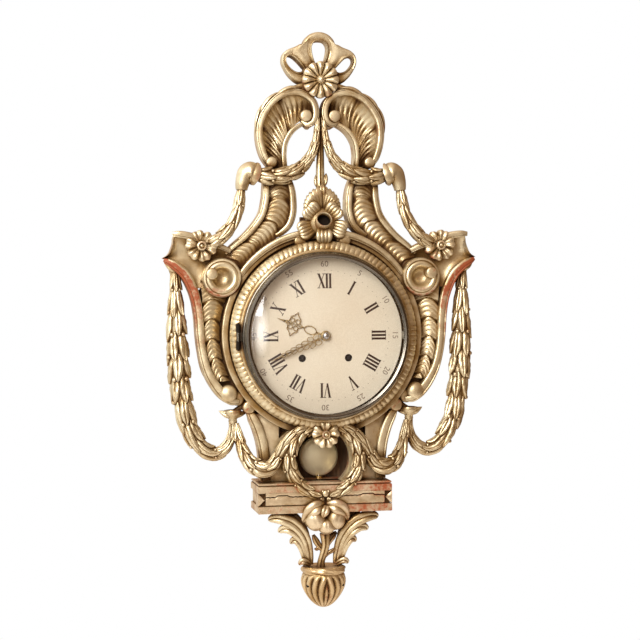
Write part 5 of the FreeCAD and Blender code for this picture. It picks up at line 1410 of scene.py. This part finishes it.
# Stage: pale floor well below the clock, soft light from a window at the left, a bright sheet that only
# reflections show, and the photograph's camera.

floor_level = -0.62
bpy.ops.mesh.primitive_circle_add(vertices=96, radius=1.0, fill_type="NGON", location=(0, 0, floor_level))
floor = bpy.context.object
floor.name = "pale_floor"
pale = bpy.data.materials.new("pale_floor")
pale.use_nodes = True
pale.node_tree.nodes["Principled BSDF"].inputs["Base Color"].default_value = (0.93, 0.92, 0.9, 1)
pale.node_tree.nodes["Principled BSDF"].inputs["Roughness"].default_value = 0.9
floor.data.materials.append(pale)

world = bpy.data.worlds.new("studio")
bpy.context.scene.world = world
world.use_nodes = True
sky = world.node_tree
sky.nodes.clear()
around = add_node(sky, "SeparateXYZ", {0: add_node(sky, "TexCoord").outputs["Generated"]})
from_left = spread(sky, around.outputs["X"], -0.85, 0.5, 1.0, 0.0)
from_above = spread(sky, around.outputs["Z"], -0.6, 0.9, 0.6, 1.3)
glow = times(sky, from_above, value_mix(sky, from_left, 0.25, 1.2))
room = colour_mix(sky, from_left, (1.0, 0.56, 0.26, 1), (1.0, 0.985, 0.96, 1))
lit = add_node(sky, "Background", {"Color": room, "Strength": glow})
seen = add_node(sky, "Background", {"Color": (1, 1, 1, 1), "Strength": 1.0})
path = add_node(sky, "LightPath")
blend = add_node(sky, "MixShader", {0: path.outputs["Is Camera Ray"], 1: lit.outputs[0], 2: seen.outputs[0]})
sky.links.new(blend.outputs[0], sky.nodes.new("ShaderNodeOutputWorld").inputs[0])


def set_out(thing, target, azimuth, elevation, distance):
    # puts a thing out from the target and turns it to face that
    (c, s), (flat, rise) = cos_sin(azimuth), cos_sin(elevation)
    away = Vector((s * flat, -c * flat, rise))
    thing.location = Vector(target) + away * distance
    thing.rotation_mode = "QUATERNION"
    thing.rotation_quaternion = (-away).to_track_quat("-Z", "Y")


light_target = (0, -0.06, 0.02)
lamp = bpy.data.lights.new("window_left", "AREA")
lamp.shape = "RECTANGLE"
lamp.size, lamp.size_y = 1.2, 1.4
lamp.energy = 58
lamp.color = (1.0, 0.99, 0.975)
window = new_object("window_left", lamp)
set_out(window, light_target, -30, 22, 2.5)

bpy.ops.mesh.primitive_plane_add(size=1.0)
sheet = bpy.context.object
sheet.name = "window_streak"
sheet.scale = (0.34, 1.1, 1)
set_out(sheet, light_target, -17.5, 1, 2.8)
sheet_glow = 9.0
shine, tree = blank_material("window_streak")
spot = add_node(tree, "VectorMath", {0: add_node(tree, "TexCoord").outputs["Object"]}, operation="LENGTH")
fade = spread(tree, spot.outputs["Value"], 0.08, 0.5, sheet_glow, 0.0)
light = add_node(tree, "Emission", {"Color": (1.0, 0.99, 0.97, 1), "Strength": fade})
show(tree, light)
sheet.data.materials.append(shine)
sheet.visible_camera = False
sheet.visible_diffuse = False

PHOTO_WIDTH = 0.832
camera_azimuth, camera_elevation, camera_roll, camera_distance = -10.0, 1.0, -0.45, 2.2
lens = bpy.data.cameras.new("photo_camera")
lens.sensor_width = 36.0
lens.lens = lens.sensor_width * camera_distance / PHOTO_WIDTH
camera = new_object("photo_camera", lens)
set_out(camera, (0.0, -0.05, 0.0195), camera_azimuth, camera_elevation, camera_distance)
camera.rotation_quaternion @= Matrix.Rotation(math.radians(camera_roll), 3, "Z").to_quaternion()
bpy.context.scene.camera = camera
bpy.context.scene.view_settings.view_transform = "Standard"
